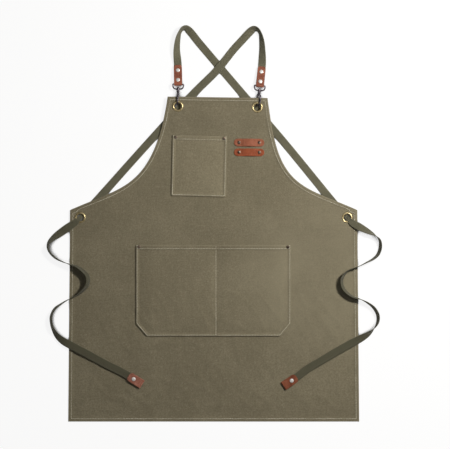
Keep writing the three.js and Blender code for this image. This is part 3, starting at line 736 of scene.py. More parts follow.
def panelStitches(inset):
    end = panel["halfHeight"]

    def edge(side, y):
        return lay(side * (halfWidth(y) - inset * hemScale(y)), y)

    heights = spread(inset - end, panel["waistY"] - 0.0035, 0.004)
    heights += spread(panel["waistY"] + 0.001, end - inset, 0.002)
    outline = [edge(1, y) for y in heights] + [edge(-1, y) for y in reversed(heights)]
    top = panel["cloth"] + panel["fold"] - stitch["sunk"]
    return [(Vector((p.x, p.y, liftAt(p.y) + wrinkleAt(p.x, p.y) + top)), heading)
            for p, heading in evenly([(*q, 0) for q in outline], stitch["pitch"], closed=True)]


def pocketStitches(p):
    line = pocketOutline(p, pocketSeam["inset"])
    runs = [line, [(-p["half"] + 0.003, -p["hem"]), (p["half"] - 0.003, -p["hem"])]]
    if p["seam"] is not None:
        runs.append([(p["seam"], -0.003), (p["seam"], pocketSeam["inset"] - p["height"])])
    spots = []
    for run in runs:
        for q, heading in evenly([(x, y, 0) for x, y in run], stitch["pitch"]):
            high, _ = pocketHeights(p, q.x, min(-0.001, q.y))
            turn = turned(p["turn"]).to_3x3()
            ahead = pocketHeights(p, q.x + heading.x * 0.002, min(-0.001, q.y + heading.y * 0.002))[0]
            rise = max(-0.3, min(0.3, (ahead - high) / 0.002))
            along = (turn @ heading + Vector((0, 0, rise))).normalized()
            spots.append((Vector((*fromPocket(p, q.x, q.y), high)), along))
    return spots


threads = [sew("panel_stitching", panelStitches(hem["seam"]), "canvas_panel")]
threads += [sew(p["name"] + "_stitching", pocketStitches(p), p["name"]) for p in (frontPocket, chestPocket)]

# leather: tool loops on the bib, folded ends on the straps and ties

print("leather")
toolLoop = {
    "x": 0.0818, "ys": {"upper": 0.270, "lower": 0.2475}, "length": 0.0696, "width": 0.0176, "thick": 0.0018,
    "rivet": 0.0234, "arch": 0.0018, "turn": -0.5, "rim": 0.0006,
}
endRim = 0.0004
leatherSides = [-1, -0.985, -0.93, -0.8, -0.55, -0.25, 0, 0.25, 0.55, 0.8, 0.93, 0.985, 1]
leatherRing = [*range(len(leatherSides)), *reversed(range(len(leatherSides), 2 * len(leatherSides)))]


# how far a worn leather edge drops at a distance in from it
def rounding(edge, rim):
    return rim * (1 - math.sqrt(max(0.0, 1 - (1 - min(1.0, edge / rim)) ** 2)))


def leatherStrip(name, length, halfAt, heightAt, thick, place, rim):
    stations = [length * (0.5 - 0.5 * math.cos(math.pi * k / 56)) - length / 2 for k in range(57)]
    points, faces = [], []
    for x in stations:
        half = max(0.0006, halfAt(x))
        for face in (1, -1):
            for s in leatherSides:
                drop = rounding(min(half * (1 - abs(s)), length / 2 - abs(x) + 0.0002), rim)
                points.append(place(x, s * half, heightAt(x) + face * (thick / 2 - drop)))
    count = len(leatherRing)
    for i in range(len(stations) - 1):
        for k in range(count):
            a, b = i * count + leatherRing[k], i * count + leatherRing[(k + 1) % count]
            faces.append((a, b, b + count, a + count))
    faces.append(tuple(leatherRing[k] for k in reversed(range(count))))
    faces.append(tuple((len(stations) - 1) * count + leatherRing[k] for k in range(count)))
    return meshPiece(name, points, faces)


def buildToolLoop(level):
    t = toolLoop
    centre = (t["x"], t["ys"][level])
    base = topAt(*centre) + 0.0004 + t["thick"] / 2
    place = Matrix.Translation((*centre, base)) @ turned(t["turn"])
    end = (t["length"] - t["width"]) / 2

    def halfAt(x):
        return math.sqrt(max(0.0, (t["width"] / 2) ** 2 - max(0.0, abs(x) - end) ** 2))

    def heightAt(x):
        return t["arch"] * smooth((t["rivet"] - 0.003 - abs(x)) / 0.02)

    loop = leatherStrip(f"{level}_leather_loop", t["length"], halfAt, heightAt, t["thick"],
                        lambda x, y, z: place @ Vector((x, y, z)), t["rim"])
    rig.replaces(loop, f"{level}_tool_loop")
    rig.slot(loop, f"{level}_tool_loop")
    return loop, place


# a strip doubled back over a strap's end, round the eye's bar or the webbing's tip
def foldedEnd(name, size, place):
    radius = size["inner"] + size["thick"] / 2
    start = math.asin(min(1.0, size["half"] / radius)) if radius > size["half"] else math.pi / 2
    bendEnd = radius * math.cos(start) + 0.001
    line = [(y, size["half"]) for y in np.linspace(size["length"], bendEnd, 26)]
    bend = np.linspace(start, 2 * math.pi - start, 22)
    line += [(radius * math.cos(a), radius * math.sin(a)) for a in bend]
    line += [(y, -size["half"]) for y in np.linspace(bendEnd, size["length"], 26)]
    half, corner = size["width"] / 2, size["corner"]
    points, faces = [], []
    for i, (y, z) in enumerate(line):
        before, after = line[max(0, i - 1)], line[min(len(line) - 1, i + 1)]
        dy, dz = after[0] - before[0], after[1] - before[1]
        reach = math.hypot(dy, dz)
        ny, nz = -dz / reach, dy / reach
        into = max(0.0, y - (size["length"] - corner))
        wide = half - corner + math.sqrt(max(0.0, corner ** 2 - into ** 2)) if into else half
        wide = max(0.002, wide)
        for face in (-1, 1):
            for s in leatherSides:
                off = face * (size["thick"] / 2 - rounding(wide * (1 - abs(s)), endRim))
                points.append(place @ Vector((s * wide, y + ny * off, z + nz * off)))
    count = len(leatherRing)
    for i in range(len(line) - 1):
        for k in range(count):
            a, b = i * count + leatherRing[k], i * count + leatherRing[(k + 1) % count]
            faces.append((a, a + count, b + count, b))
    faces.append(tuple(leatherRing))
    faces.append(tuple((len(line) - 1) * count + leatherRing[k] for k in reversed(range(count))))
    return meshPiece(name, points, faces)


loops = {level: buildToolLoop(level) for level in toolLoop["ys"]}
leatherEnds, placed = {}, {}
for side in routes:
    upper, tie = leatherPlaces(side)
    for kind, size, place in (("strap_end", strapEnd, upper), ("tie_end", tieEnd, tie)):
        piece = foldedEnd(f"{side}_{kind}_leather", size, place)
        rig.replaces(piece, f"{side}_{kind}")
        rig.slot(piece, f"{side}_{kind}")
        leatherEnds[side, kind] = piece
        placed[side, kind] = place

# metal: rivets, eyelets, snap hooks

print("rivets and eyelets")


# turns a profile of (radius, height) pairs: a circle extruded, scaled and moved ring by ring
def ringsByHand(name, profile, sides, closed):
    deselect()
    r0, z0 = profile[0]
    bpy.ops.mesh.primitive_circle_add(vertices=sides, radius=r0, location=(0, 0, z0), fill_type="NOTHING")
    piece = bpy.context.object
    piece.name = name
    bpy.ops.object.transform_apply(location=True, rotation=True, scale=True)
    bpy.ops.object.mode_set(mode="EDIT")
    bpy.ops.mesh.select_mode(type="EDGE")
    bpy.ops.mesh.select_all(action="SELECT")
    if not closed:
        bpy.ops.mesh.edge_face_add()
    r, z = r0, z0
    for nextR, nextZ in profile[1:]:
        bpy.ops.mesh.extrude_edges_move() if closed else bpy.ops.mesh.extrude_region_move()
        bpy.ops.transform.resize(value=(nextR / r, nextR / r, 1), center_override=(0, 0, 0))
        bpy.ops.transform.translate(value=(0, 0, nextZ - z))
        r, z = nextR, nextZ
    if closed:
        bpy.ops.mesh.select_all(action="SELECT")
        bpy.ops.mesh.remove_doubles(threshold=1e-6)
    bpy.ops.mesh.select_all(action="SELECT")
    bpy.ops.mesh.normals_make_consistent(inside=False)
    bpy.ops.object.mode_set(mode="OBJECT")
    bpy.ops.object.shade_smooth_by_angle(angle=math.radians(40))
    return piece


def putCopy(pattern, name, place, node):
    copy = bpy.data.objects.new(name, pattern.data.copy())
    bpy.context.scene.collection.objects.link(copy)
    copy.data.transform(place)
    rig.ride(copy, "apron")
    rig.slot(copy, node)
    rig.replaces(copy, node)
    return copy


rivetKinds = {
    "silver": {"radius": 0.0046, "dome": 0.0013, "stack": 0.0051},
    "dark": {"radius": 0.0037, "dome": 0.0011, "stack": 0.0031},
}


def rivetPattern(kind):
    k = rivetKinds[kind]
    r, low, dome = k["radius"], -k["stack"], k["dome"]
    back = [(r * 0.5, low - 0.001), (r * 0.9, low - 0.0009), (r * 0.94, low - 0.0004),
            (r * 0.9, low - 0.0001)]
    post = [(0.0012, low), (0.0012, 0.0001)]
    cap = [(r * 0.97, 0.0001), (r, 0.0003), (r * 0.985, 0.0006), (r * 0.9, dome * 0.72),
           (r * 0.76, dome * 0.9), (r * 0.55, dome), (r * 0.3, dome * 1.04), (r * 0.08, dome * 1.05)]
    return ringsByHand(f"{kind}_rivet_pattern", back + post + cap, 26, False)


eyeletSize = {"hole": 0.0075, "tube": 0.0086, "flange": 0.0128, "below": 0.0015}


def eyeletPattern():
    hole, tube, flange, low = (eyeletSize[n] for n in ("hole", "tube", "flange", "below"))
    turnedBack = [(hole, 0.0003 - low), (hole + 0.0003, -low), (0.0101, -low), (0.0104, 0.00015 - low),
                  (0.0101, 0.0003 - low), (tube, 0.0003 - low)]
    front = [(tube, 0.0007), (flange - 0.0002, 0.0006), (flange, 0.0008), (flange - 0.0003, 0.0012),
             (0.0116, 0.0017), (0.0107, 0.0020), (0.0098, 0.0020), (0.0089, 0.0017), (0.0081, 0.0011),
             (hole + 0.0001, 0.0002)]
    return ringsByHand("eyelet_pattern", turnedBack + front + turnedBack[:1], 48, True)


patterns = {kind: rivetPattern(kind) for kind in rivetKinds}
patterns["eyelet"] = eyeletPattern()
metal = {"silver": [], "dark": [], "brass": [], "gun": []}

for side in routes:
    for kind, size in (("strap_end", strapEnd), ("tie_end", tieEnd)):
        for n, along in enumerate(size["rivets"]):
            label = f"{side}_{kind}_rivet" + (("_lower", "_upper")[n] if kind == "strap_end" else "")
            top = placed[side, kind] @ Matrix.Translation((0, along, size["half"] + size["thick"] / 2))
            metal["silver"].append(putCopy(patterns["silver"], label + "_cap", top, label))
for level, (loop, place) in loops.items():
    for side, sign in (("left", -1), ("right", 1)):
        label = f"{level}_tool_loop_rivet_{side}"
        top = place @ Matrix.Translation((sign * toolLoop["rivet"], 0, toolLoop["thick"] / 2))
        metal["dark"].append(putCopy(patterns["dark"], label + "_cap", top, label))
for p in (frontPocket, chestPocket):
    for side, sign in (("left", -1), ("right", 1)):
        label = f"{p['name']}_rivet_{side}"
        x, y = sign * (p["half"] - pocketRivet["inset"]), -pocketRivet["drop"]
        top = Matrix.Translation((*fromPocket(p, x, y), pocketHeights(p, x, y)[0] + pocketRivet["above"]))
        metal["dark"].append(putCopy(patterns["dark"], label + "_cap", top, label))
for label, (x, y) in eyelets.items():
    place = Matrix.Translation((x, y, liftAt(y) + panel["cloth"] / 2))
    node = f"{label}_eyelet"
    metal["brass"].append(putCopy(patterns["eyelet"], node + "_ring", place, node))
for pattern in patterns.values():
    bpy.data.objects.remove(pattern)

print("snap hooks")
snap = {"wire": 0.0016, "spine": 0.007, "gateSide": -0.0058, "nose": 0.025, "bend": 0.029, "hinge": 0.0105,
        "eyeHalf": 0.0124, "rolls": {"left": 0, "right": 30}}


def rodAlong(name, points, radius, closed=False):
    deselect()
    bpy.ops.curve.primitive_nurbs_path_add(location=(0, 0, 0))
    rod = bpy.context.object
    rod.name = name
    rod.data.splines.clear()
    spline = rod.data.splines.new("NURBS")
    spline.points.add(len(points) - 1)
    for spot, p in zip(spline.points, points):
        spot.co = (*p, 1)
    spline.order_u = 3
    spline.use_endpoint_u = not closed
    spline.use_cyclic_u = closed
    spline.resolution_u = 8
    rod.data.bevel_depth = radius
    rod.data.bevel_resolution = 4
    rod.data.use_fill_caps = not closed
    bpy.ops.object.convert(target="MESH")
    return bpy.context.object


def turnedPost(name, profile):
    post = ringsByHand(name, profile, 28, False)
    post.data.transform(turned(-90, "X"))
    return post


def joined(name, *parts):
    deselect()
    for part in parts:
        part.select_set(True)
    bpy.context.view_layer.objects.active = parts[0]
    bpy.ops.object.join()
    parts[0].name = name
    return parts[0]


def dEye(name):
    h, up = snap["eyeHalf"], strapEnd["barUp"]
    bar = [(-h + 0.002, up, 0), (0, up, 0), (h - 0.002, up, 0)]
    sideways = [(h, up - 0.0006, 0), (h, up - 0.0045, 0), (h - 0.0018, 0.0022, 0), (h - 0.006, 0.0001, 0)]
    back = [(-x, y, z) for x, y, z in reversed(sideways)]
    loop = rodAlong(name + "_loop", bar + sideways + [(0, 0, 0)] + back, snap["wire"], closed=True)
    half = [(0.0034, 0.0026), (0.003, 0.003), (0.0019, 0.003)]
    boss = turnedPost(name + "_boss", [(r, -z) for r, z in half[::-1]] + half)
    return joined(name, loop, boss)


def hookBody(name):
    spine, gateSide, bend = snap["spine"], snap["gateSide"], snap["bend"]
    middle, radius = (spine + gateSide) / 2, (spine - gateSide) / 2
    tip = [(0, -bend - radius * math.sin(a), middle + radius * math.cos(a))
           for a in [math.radians(d) for d in range(0, 181, 20)]]
    neck = [(0, -0.006, 0), (0, -0.0085, 0.0012), (0, -0.0105, 0.0052), (0, -0.0135, spine),
            (0, -0.02, spine)]
    hoop = rodAlong(name + "_hoop", [*neck, *tip, (0, -snap["nose"], gateSide)], snap["wire"])
    collar = [(0.0018, -0.0082), (0.0028, -0.0080), (0.0034, -0.0070), (0.0034, -0.0037), (0.0030, -0.0033)]
    shank = [(0.0015, -0.0033), (0.0015, 0.0033)]
    head = [(0.0024, 0.0033), (0.0027, 0.0037), (0.0026, 0.0044), (0.0018, 0.0049), (0.0005, 0.0050)]
    post = turnedPost(name + "_post", collar + shank + head)
    deselect()
    bpy.ops.mesh.primitive_cube_add(size=1, location=(0, 0.0024 - snap["hinge"], gateSide + 0.0012),
                                    scale=(0.0014, 0.008, 0.0046))
    lug = bpy.context.object
    bpy.ops.object.transform_apply(location=True, rotation=True, scale=True)
    bpy.ops.object.mode_set(mode="EDIT")
    bpy.ops.mesh.select_all(action="SELECT")
    bpy.ops.mesh.bevel(offset=0.00035, segments=2, affect="EDGES")
    bpy.ops.object.mode_set(mode="OBJECT")
    return joined(name, hoop, post, lug)


def gateBar(name):
    hinge, gateSide = snap["hinge"], snap["gateSide"]
    length = snap["nose"] - 0.0005 - hinge
    parts = []
    deselect()
    bpy.ops.mesh.primitive_cube_add(size=1, location=(0, -hinge - length / 2 - 0.0018, gateSide),
                                    scale=(0.0032, length - 0.0036, 0.0028))
    parts.append(bpy.context.object)
    for x in (-0.00165, 0.00165):
        bpy.ops.mesh.primitive_cylinder_add(vertices=24, radius=0.002, depth=0.0011,
                                            location=(x, -hinge, gateSide), rotation=(0, math.pi / 2, 0))
        parts.append(bpy.context.object)
        bpy.ops.mesh.primitive_cube_add(size=1, location=(x, -hinge - 0.0022, gateSide),
                                        scale=(0.0011, 0.0045, 0.003))
        parts.append(bpy.context.object)
    gate = joined(name, *parts)
    bpy.ops.object.transform_apply(location=True, rotation=True, scale=True)
    bpy.ops.object.mode_set(mode="EDIT")
    bpy.ops.mesh.select_all(action="SELECT")
    bpy.ops.mesh.bevel(offset=0.0003, segments=2, affect="EDGES", clamp_overlap=True)
    bpy.ops.mesh.normals_make_consistent(inside=False)
    bpy.ops.object.mode_set(mode="OBJECT")
    bpy.ops.object.shade_smooth_by_angle(angle=math.radians(35))
    return gate


def gatePin(name):
    head = [(0.0007, 0.0031), (0.0013, 0.0030), (0.0015, 0.0027), (0.0014, 0.0024), (0.0008, 0.0024)]
    pin = ringsByHand(name, [(r, -z) for r, z in head] + head[::-1], 20, False)
    pin.data.transform(Matrix.Translation((0, -snap["hinge"], snap["gateSide"])) @ turned(90, "Y"))
    return pin


for side, route in routes.items():
    x, y, turn = route["hook"]
    swivel = Matrix.Translation((x, y, strapEnd["barHeight"])) @ turned(turn)
    rolled = swivel @ turned(snap["rolls"][side], "Y")
    for make, label, place, body in (
            (dEye, "eye", swivel, "eye"), (hookBody, "hook", rolled, "hook"),
            (gateBar, "gate", rolled, "gate"), (gatePin, "gate_pin", rolled, "hook")):
        piece = make(f"{side}_{label}_metal")
        piece.data.transform(place)
        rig.ride(piece, f"{side}_{body}")
        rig.slot(piece, f"{side}_snap_{label}")
        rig.replaces(piece, f"{side}_snap_{label}")
        metal["gun"].append(piece)

# what is cloth and what is a free strap

# cloth turned under at each edge, and the length of the panel's whole edge
turnIn = {"panel": 0.016, "pocket": 0.007, "pocketHem": 0.016, "outline": 2.7}
end, slices = panel["halfHeight"], 1500
fullHeight = 2 * end
panelArea = 2 * sum(halfWidth(y) for y in np.linspace(-end, end, slices)) * fullHeight / slices
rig.sheet(canvas, flat=(2 * panel["hemHalf"] + 2 * turnIn["panel"], fullHeight + 2 * turnIn["panel"]),
         area=panelArea + turnIn["panel"] * turnIn["outline"], held="laid", with_pieces=[threads[0]])
for p, thread in zip((frontPocket, chestPocket), threads[1:]):
    flat = (p["half"] * 2 + 2 * turnIn["pocket"], p["height"] + turnIn["pocketHem"])
    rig.sheet(pockets[p["name"]], flat=flat, held="laid", rests_on=[canvas], with_pieces=[thread])
for side, (strap, path, length) in straps.items():
    carried = [leatherEnds[side, "tie_end"], leatherEnds[side, "strap_end"]]
    carried += [o for o in metal["silver"] if o.name.startswith(side)]
    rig.cord(strap, exit=path[0], length=length, diameter=webbing["width"], far_end="fitting",
            stiffness="medium", lay="loose", path=path, with_pieces=carried)

# finishes

print("finishes")


class Link:
    # one socket of a node tree; sums on links add Math nodes
    def __init__(self, tree, socket=None):
        self.tree = tree
        self.socket = socket

    def add(self, kind, settings, sockets, out=0):
        node = self.tree.nodes.new(kind)
        for name, value in settings.items():
            if name == "stops":
                ends = node.color_ramp.elements
                stops = [ends[0], *[ends.new(at) for at, _ in value[1:-1]], ends[len(ends) - 1]]
                for stop, (at, colour) in zip(sorted(stops, key=lambda s: s.position), value):
                    stop.position, stop.color = at, colour
            else:
                setattr(node, name, value)
        for name, value in sockets.items():
            if isinstance(value, Link):
                self.tree.links.new(value.socket, node.inputs[name])
            else:
                node.inputs[name].default_value = value
        return Link(self.tree, node.outputs[out] if len(node.outputs) else None)

    def sum(self, operation, a, b):
        return self.add("ShaderNodeMath", {"operation": operation}, {0: a, 1: b})

    def __add__(self, other):
        return self.sum("ADD", self, other)

    def __radd__(self, other):
        return self.sum("ADD", other, self)

    def __sub__(self, other):
        return self.sum("SUBTRACT", self, other)

    def __rsub__(self, other):
        return self.sum("SUBTRACT", other, self)

    def __mul__(self, other):
        return self.sum("MULTIPLY", self, other)

    def __rmul__(self, other):
        return self.sum("MULTIPLY", other, self)

    def __abs__(self):
        return self.sum("ABSOLUTE", self, 0)

    def wave(self, period):
        return self.sum("SINE", self * (2 * math.pi / period), 0)

    def between(self, low, high, a=0.0, b=1.0):
        return self.add("ShaderNodeMapRange", {"interpolation_type": "SMOOTHSTEP"}, {
            "Value": self, "From Min": low, "From Max": high, "To Min": a, "To Max": b})


class Finish(Link):
    # a material's own tree, with its surface coordinates at hand
    def __init__(self, name):
        self.material = bpy.data.materials.new(name)
        self.material.use_nodes = True
        super().__init__(self.material.node_tree)
        self.tree.nodes.clear()
        self.place = self.add("ShaderNodeTexCoord", {}, {}, "Object")

    def parts(self, vector):
        return [self.add("ShaderNodeSeparateXYZ", {}, {"Vector": vector}, axis) for axis in ("X", "Y", "Z")]

    def noise(self, scale, detail=3.0, rough=0.55, stretch=None):
        place = self.place
        if stretch:
            place = self.add("ShaderNodeVectorMath", {"operation": "MULTIPLY"}, {0: place, 1: stretch})
        return self.add("ShaderNodeTexNoise", {}, {
            "Vector": place, "Scale": scale, "Detail": detail, "Roughness": rough})

    def blend(self, share, a, b, how="MIX"):
        return self.add("ShaderNodeMix", {"data_type": "RGBA", "blend_type": how},
                        {"Factor": share, 6: a, 7: b}, 2)

    def colour(self, rgb):
        return (*rgb, 1.0)

    def done(self, colour, roughness, height=None, depth=0.0002, **constants):
        sockets = {"Base Color": colour, "Roughness": roughness}
        if height is not None:
            sockets["Normal"] = self.add("ShaderNodeBump", {}, {
                "Height": height, "Strength": 1.0, "Distance": depth})
        sockets.update({name.replace("_", " "): value for name, value in constants.items()})
        surface = self.add("ShaderNodeBsdfPrincipled", {}, sockets)
        self.add("ShaderNodeOutputMaterial", {}, {"Surface": surface})
        return self.material


clothColours = {
    "weft": (0.262, 0.229, 0.150), "warp": (0.198, 0.170, 0.109), "worn": (0.33, 0.295, 0.205),
    "faded": (0.30, 0.265, 0.178), "fleck": (0.14, 0.118, 0.074), "nub": (0.40, 0.36, 0.255),
    # the last entry places a pool of painted light beside the front pocket
    "pit": (0.12, 0.10, 0.062), "yarn": 0.00125, "sunned": {"x": 0.25, "y": -0.03, "reach": 0.06},
}


def canvasFinish(name, tint):
    f = Finish(name)
    x, y, _ = f.parts(f.place)
    weave = x.wave(clothColours["yarn"]) * y.wave(clothColours["yarn"])
    slub = f.noise(260, 2, 0.6, (1, 0.12, 1)) + f.noise(260, 2, 0.6, (0.12, 1, 1))
    grain = f.noise(900, 2, 0.7)
    mottle = f.noise(9, 4, 0.6)
    base = f.blend((weave * 0.35 + slub * 0.55).between(0.15, 0.95), f.colour(clothColours["warp"]),
                   f.colour(clothColours["weft"]))
    base = f.blend(mottle.between(0.40, 0.70) * 0.6, base, f.colour(clothColours["faded"]))
    fleck = f.noise(330, 2, 0.65)
    base = f.blend(fleck.between(0.38, 0.66) * 0.42, base, f.colour(clothColours["fleck"]))
    base = f.blend(f.noise(210, 2, 0.6).between(0.55, 0.75) * 0.26, base, f.colour(clothColours["nub"]))
    base = f.blend(grain.between(0.35, 0.75) * 0.25, base, f.colour(clothColours["pit"]))
    base = f.blend(1.0, base, f.colour((tint, tint, tint)), "MULTIPLY")
    patch = clothColours["sunned"]  # painted light: a lighter patch beside the front pocket, where the light from the right falls brighter
    across, along = x - patch["x"], y - patch["y"]
    sunned = (across * across + along * along).between(0.0, patch["reach"], 1.0, 0.0)
    # painted light: the lighter tone is blended into the patch as a pool of light
    base = f.blend(sunned * mottle.between(0.2, 0.8, 0.3, 0.6), base, f.colour(clothColours["faded"]))
    wear = f.add("ShaderNodeAttribute", {"attribute_name": "wear"}, {}, "Fac")
    rubbed = wear * f.noise(120, 3, 0.6).between(0.3, 0.7, 0.35, 1.0)
    base = f.blend(rubbed * 0.4, base, f.colour(clothColours["worn"]))
    height = weave * 0.35 + slub * 0.5 + grain * 0.25 + fleck * 1.2
    return f.done(base, mottle.between(0.3, 0.7, 0.8, 0.95), height, 0.00035, Sheen_Weight=0.12,
                  Sheen_Roughness=0.5, Specular_IOR_Level=0.25)


threadColours = {"shade": (0.62, 0.58, 0.45), "light": (0.80, 0.76, 0.62), "soiled": (0.34, 0.305, 0.215)}


def threadFinish():
    f = Finish("cotton_thread")
    x, y, _ = f.parts(f.place)
    twist = (x + y).wave(0.0007)
    base = f.blend(twist.between(-1, 1), f.colour(threadColours["shade"]), f.colour(threadColours["light"]))
    base = f.blend(f.noise(45, 3).between(0.42, 0.7) * 0.6, base, f.colour(threadColours["soiled"]))
    return f.done(base, f.noise(500).between(0, 1, 0.75, 0.95), twist, 0.0001)


webbingColours = {
    "low": (0.150, 0.140, 0.090), "high": (0.215, 0.203, 0.137), "groove": (0.11, 0.10, 0.065),
    "selvedge": (0.25, 0.235, 0.165), "handled": (0.070, 0.066, 0.040), "soiled": (0.10, 0.094, 0.06),
    "rib": 0.0021, "cord": 0.0018, "selvedgeFrom": 0.0072, "selvedgeTo": 0.0086,
    "tiesFrom": 0.62, "tiesTo": 0.85,  # painted shade: the ties are painted darker from here along the strap
}


def webbingFinish():
    f = Finish("cotton_webbing")
    uv = f.add("ShaderNodeTexCoord", {}, {}, "UV")
    across, along, _ = f.parts(uv)
    c = webbingColours
    rib = (abs(across) * 1.0 + along).wave(c["rib"])
    cords = across.wave(c["cord"])
    selvedge = abs(across).between(c["selvedgeFrom"], c["selvedgeTo"])
    base = f.blend(rib.between(-0.8, 0.8), f.colour(c["low"]), f.colour(c["high"]))
    base = f.blend(cords.between(0.2, 1) * 0.25, base, f.colour(c["groove"]))
    base = f.blend(selvedge * 0.4, base, f.colour(c["selvedge"]))
    # painted shade: darkens the tie part of the strap
    base = f.blend(along.between(c["tiesFrom"], c["tiesTo"]) * 0.6, base, f.colour(c["handled"]))
    base = f.blend(f.noise(45, 3).between(0.4, 0.75) * 0.3, base, f.colour(c["soiled"]))
    height = rib * 0.6 + cords * 0.3 + f.noise(1200, 2) * 0.4 - selvedge * 0.6
    return f.done(base, f.noise(300).between(0, 1, 0.78, 0.95), height, 0.00035, Sheen_Weight=0.1,
                  Specular_IOR_Level=0.2)


def leatherFinish(name, base, light, dark):
    f = Finish(name)
    pores = f.add("ShaderNodeTexVoronoi", {"feature": "DISTANCE_TO_EDGE"},
                  {"Vector": f.place, "Scale": 900.0}, "Distance")
    clouds = f.noise(55, 5, 0.62)
    streak = f.noise(240, 3, 0.6, (1, 0.3, 1))
    tone = f.blend(clouds.between(0.35, 0.68), f.colour(dark), f.colour(base))
    tone = f.blend(streak.between(0.5, 0.8) * 0.5, tone, f.colour(light))
    tone = f.blend(pores.between(0.0, 0.12, 1.0, 0.0) * 0.3, tone, f.colour(dark))
    wear = f.add("ShaderNodeAttribute", {"attribute_name": "wear"}, {}, "Fac")
    tone = f.blend(wear * clouds.between(0.3, 0.6, 0.4, 0.9), tone, f.colour(light))
    height = pores.between(0.0, 0.2) + streak * 0.4 + clouds * 0.8
    return f.done(tone, clouds.between(0.3, 0.7, 0.62, 0.42), height, 0.00025, Specular_IOR_Level=0.28)


def metalFinish(name, bright, dull, rough, spots, metallic):
    f = Finish(name)
    patches = f.noise(160, 4, 0.6)
    brushed = f.noise(1500, 2, 0.6, (1, 0.15, 1))
    specks = f.noise(2600, 2, 0.5)
    tone = f.blend(patches.between(0.35, 0.68), f.colour(dull), f.colour(bright))
    tone = f.blend(specks.between(0.58, 0.75) * spots, tone, f.colour(tuple(c * 0.3 for c in dull)))
    shine = patches.between(0.3, 0.7, rough + 0.14, rough) + brushed * 0.06
    return f.done(tone, shine, brushed * 0.6 + specks * 0.4, 0.00006, Metallic=metallic)


finishes = {
    "canvas": canvasFinish("waxed_canvas", 1.03),
    "front_pocket": canvasFinish("front_pocket_canvas", 1.07),
    "chest_pocket": canvasFinish("chest_pocket_canvas", 1.2),
    "thread": threadFinish(), "webbing": webbingFinish(),
    "silver": metalFinish("nickel_rivet", (0.93, 0.91, 0.88), (0.78, 0.76, 0.73), 0.34, 0.12, 0.45),
    "dark": metalFinish("antique_rivet", (0.26, 0.20, 0.15), (0.06, 0.045, 0.036), 0.30, 0.4, 0.9),
    "brass": metalFinish("brass_eyelet", (0.66, 0.53, 0.29), (0.40, 0.32, 0.16), 0.30, 0.3, 0.85),
    "gun": metalFinish("gunmetal", (0.17, 0.145, 0.165), (0.05, 0.042, 0.052), 0.30, 0.3, 0.75),
}
leatherTones = {
    "upper_tool_loop": ((0.45, 0.155, 0.086), (0.56, 0.25, 0.155), (0.32, 0.10, 0.052)),
    "lower_tool_loop": ((0.41, 0.10, 0.040), (0.5, 0.17, 0.085), (0.28, 0.065, 0.024)),
    "left_strap_end": ((0.44, 0.145, 0.083), (0.58, 0.26, 0.17), (0.27, 0.085, 0.048)),
    "right_strap_end": ((0.46, 0.165, 0.098), (0.6, 0.28, 0.18), (0.28, 0.092, 0.054)),
    "left_tie_end": ((0.33, 0.10, 0.047), (0.46, 0.19, 0.11), (0.18, 0.05, 0.023)),
    # painted highlight: the right tie's leather tones are lighter than the left's, standing in for the gloss the key
    # light puts on it
    "right_tie_end": ((0.46, 0.18, 0.12), (0.62, 0.33, 0.25), (0.27, 0.095, 0.06)),
}


def dress(piece, finish):
    piece.data.materials.clear()
    piece.data.materials.append(finish)
    for face in piece.data.polygons:
        face.material_index = 0


dress(canvas, finishes["canvas"])
for name, piece in pockets.items():
    dress(piece, finishes[name])
for piece in threads:
    dress(piece, finishes["thread"])
for strap, path, length in straps.values():
    dress(strap, finishes["webbing"])
for level, (loop, place) in loops.items():
    dress(loop, leatherFinish(f"{level}_loop_leather", *leatherTones[f"{level}_tool_loop"]))
for (side, kind), piece in leatherEnds.items():
    dress(piece, leatherFinish(f"{side}_{kind}_hide", *leatherTones[f"{side}_{kind}"]))
for kind, group in metal.items():
    for piece in group:
        dress(piece, finishes[kind])
for name, node in nodes.items():
    if name.endswith("_washer"):
        dress(node, finishes["brass"])

# floor and light

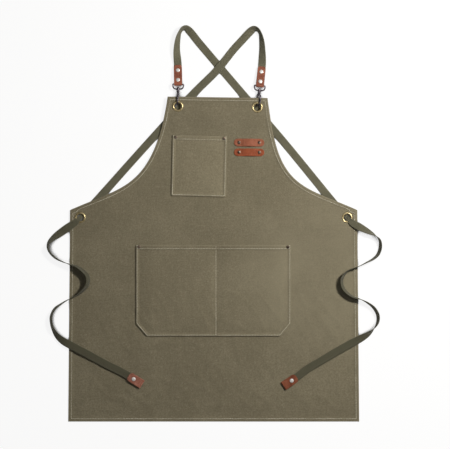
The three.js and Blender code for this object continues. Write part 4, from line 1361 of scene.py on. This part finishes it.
print("floor and light")
floorSetup = {"half": 3.0, "glow": 0.87, "diffuse": 0.16, "near": 0.08}
lightSetup = {
    "key": {"place": (1.0, 0.66, 1.43), "size": 0.24, "watts": 28.5, "colour": (1.0, 0.975, 0.93)},
    "card": {"place": (-0.2, 0.3, 3.7), "size": 2.2, "watts": 6.0, "colour": (0.96, 0.98, 1.0)},
}
lightTarget = (0, 0.05, 0)
worldLight = 0.085

deselect()
bpy.ops.mesh.primitive_plane_add(size=2 * floorSetup["half"], location=(0, 0, -0.0006))
floor = bpy.context.object
floor.name = "floor"
bpy.ops.object.transform_apply(location=True, rotation=True, scale=True)
paper = Finish("pale_floor")
# painted shade: the floor's glow fades where ambient occlusion finds the apron close by, so it darkens under and
# beside the apron and in the eyelet holes
near = paper.add("ShaderNodeAmbientOcclusion", {"samples": 16}, {"Distance": floorSetup["near"]}, "AO")
glow = paper.add("ShaderNodeEmission", {}, {
    "Color": (1, 1, 1, 1), "Strength": near.between(0.40, 0.49, 0.03, floorSetup["glow"])})
matt = paper.add("ShaderNodeBsdfDiffuse", {}, {"Color": (*[floorSetup["diffuse"]] * 3, 1)})
both = paper.add("ShaderNodeAddShader", {}, {0: glow, 1: matt})
paper.add("ShaderNodeOutputMaterial", {}, {"Surface": both})
dress(floor, paper.material)
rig.stage(floor)

for name, setup in lightSetup.items():
    lamp = bpy.data.lights.new(name, "AREA")
    lamp.size = setup["size"]
    lamp.energy = setup["watts"]
    lamp.color = setup["colour"]
    light = bpy.data.objects.new(name, lamp)
    light.location = setup["place"]
    towards = Vector(lightTarget) - Vector(setup["place"])
    light.rotation_euler = towards.to_track_quat("-Z", "Y").to_euler()
    bpy.context.scene.collection.objects.link(light)
world = bpy.data.worlds.new("studio")
world.use_nodes = True
world.node_tree.nodes["Background"].inputs["Color"].default_value = (1, 1, 1, 1)
world.node_tree.nodes["Background"].inputs["Strength"].default_value = worldLight
bpy.context.scene.world = world
bpy.context.scene.view_settings.view_transform = "Standard"

with open("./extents.json", "w") as sizes:
    json.dump({"cad": [list(v) for v in cadBox], "visual": [list(v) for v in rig.bounds()]}, sizes)
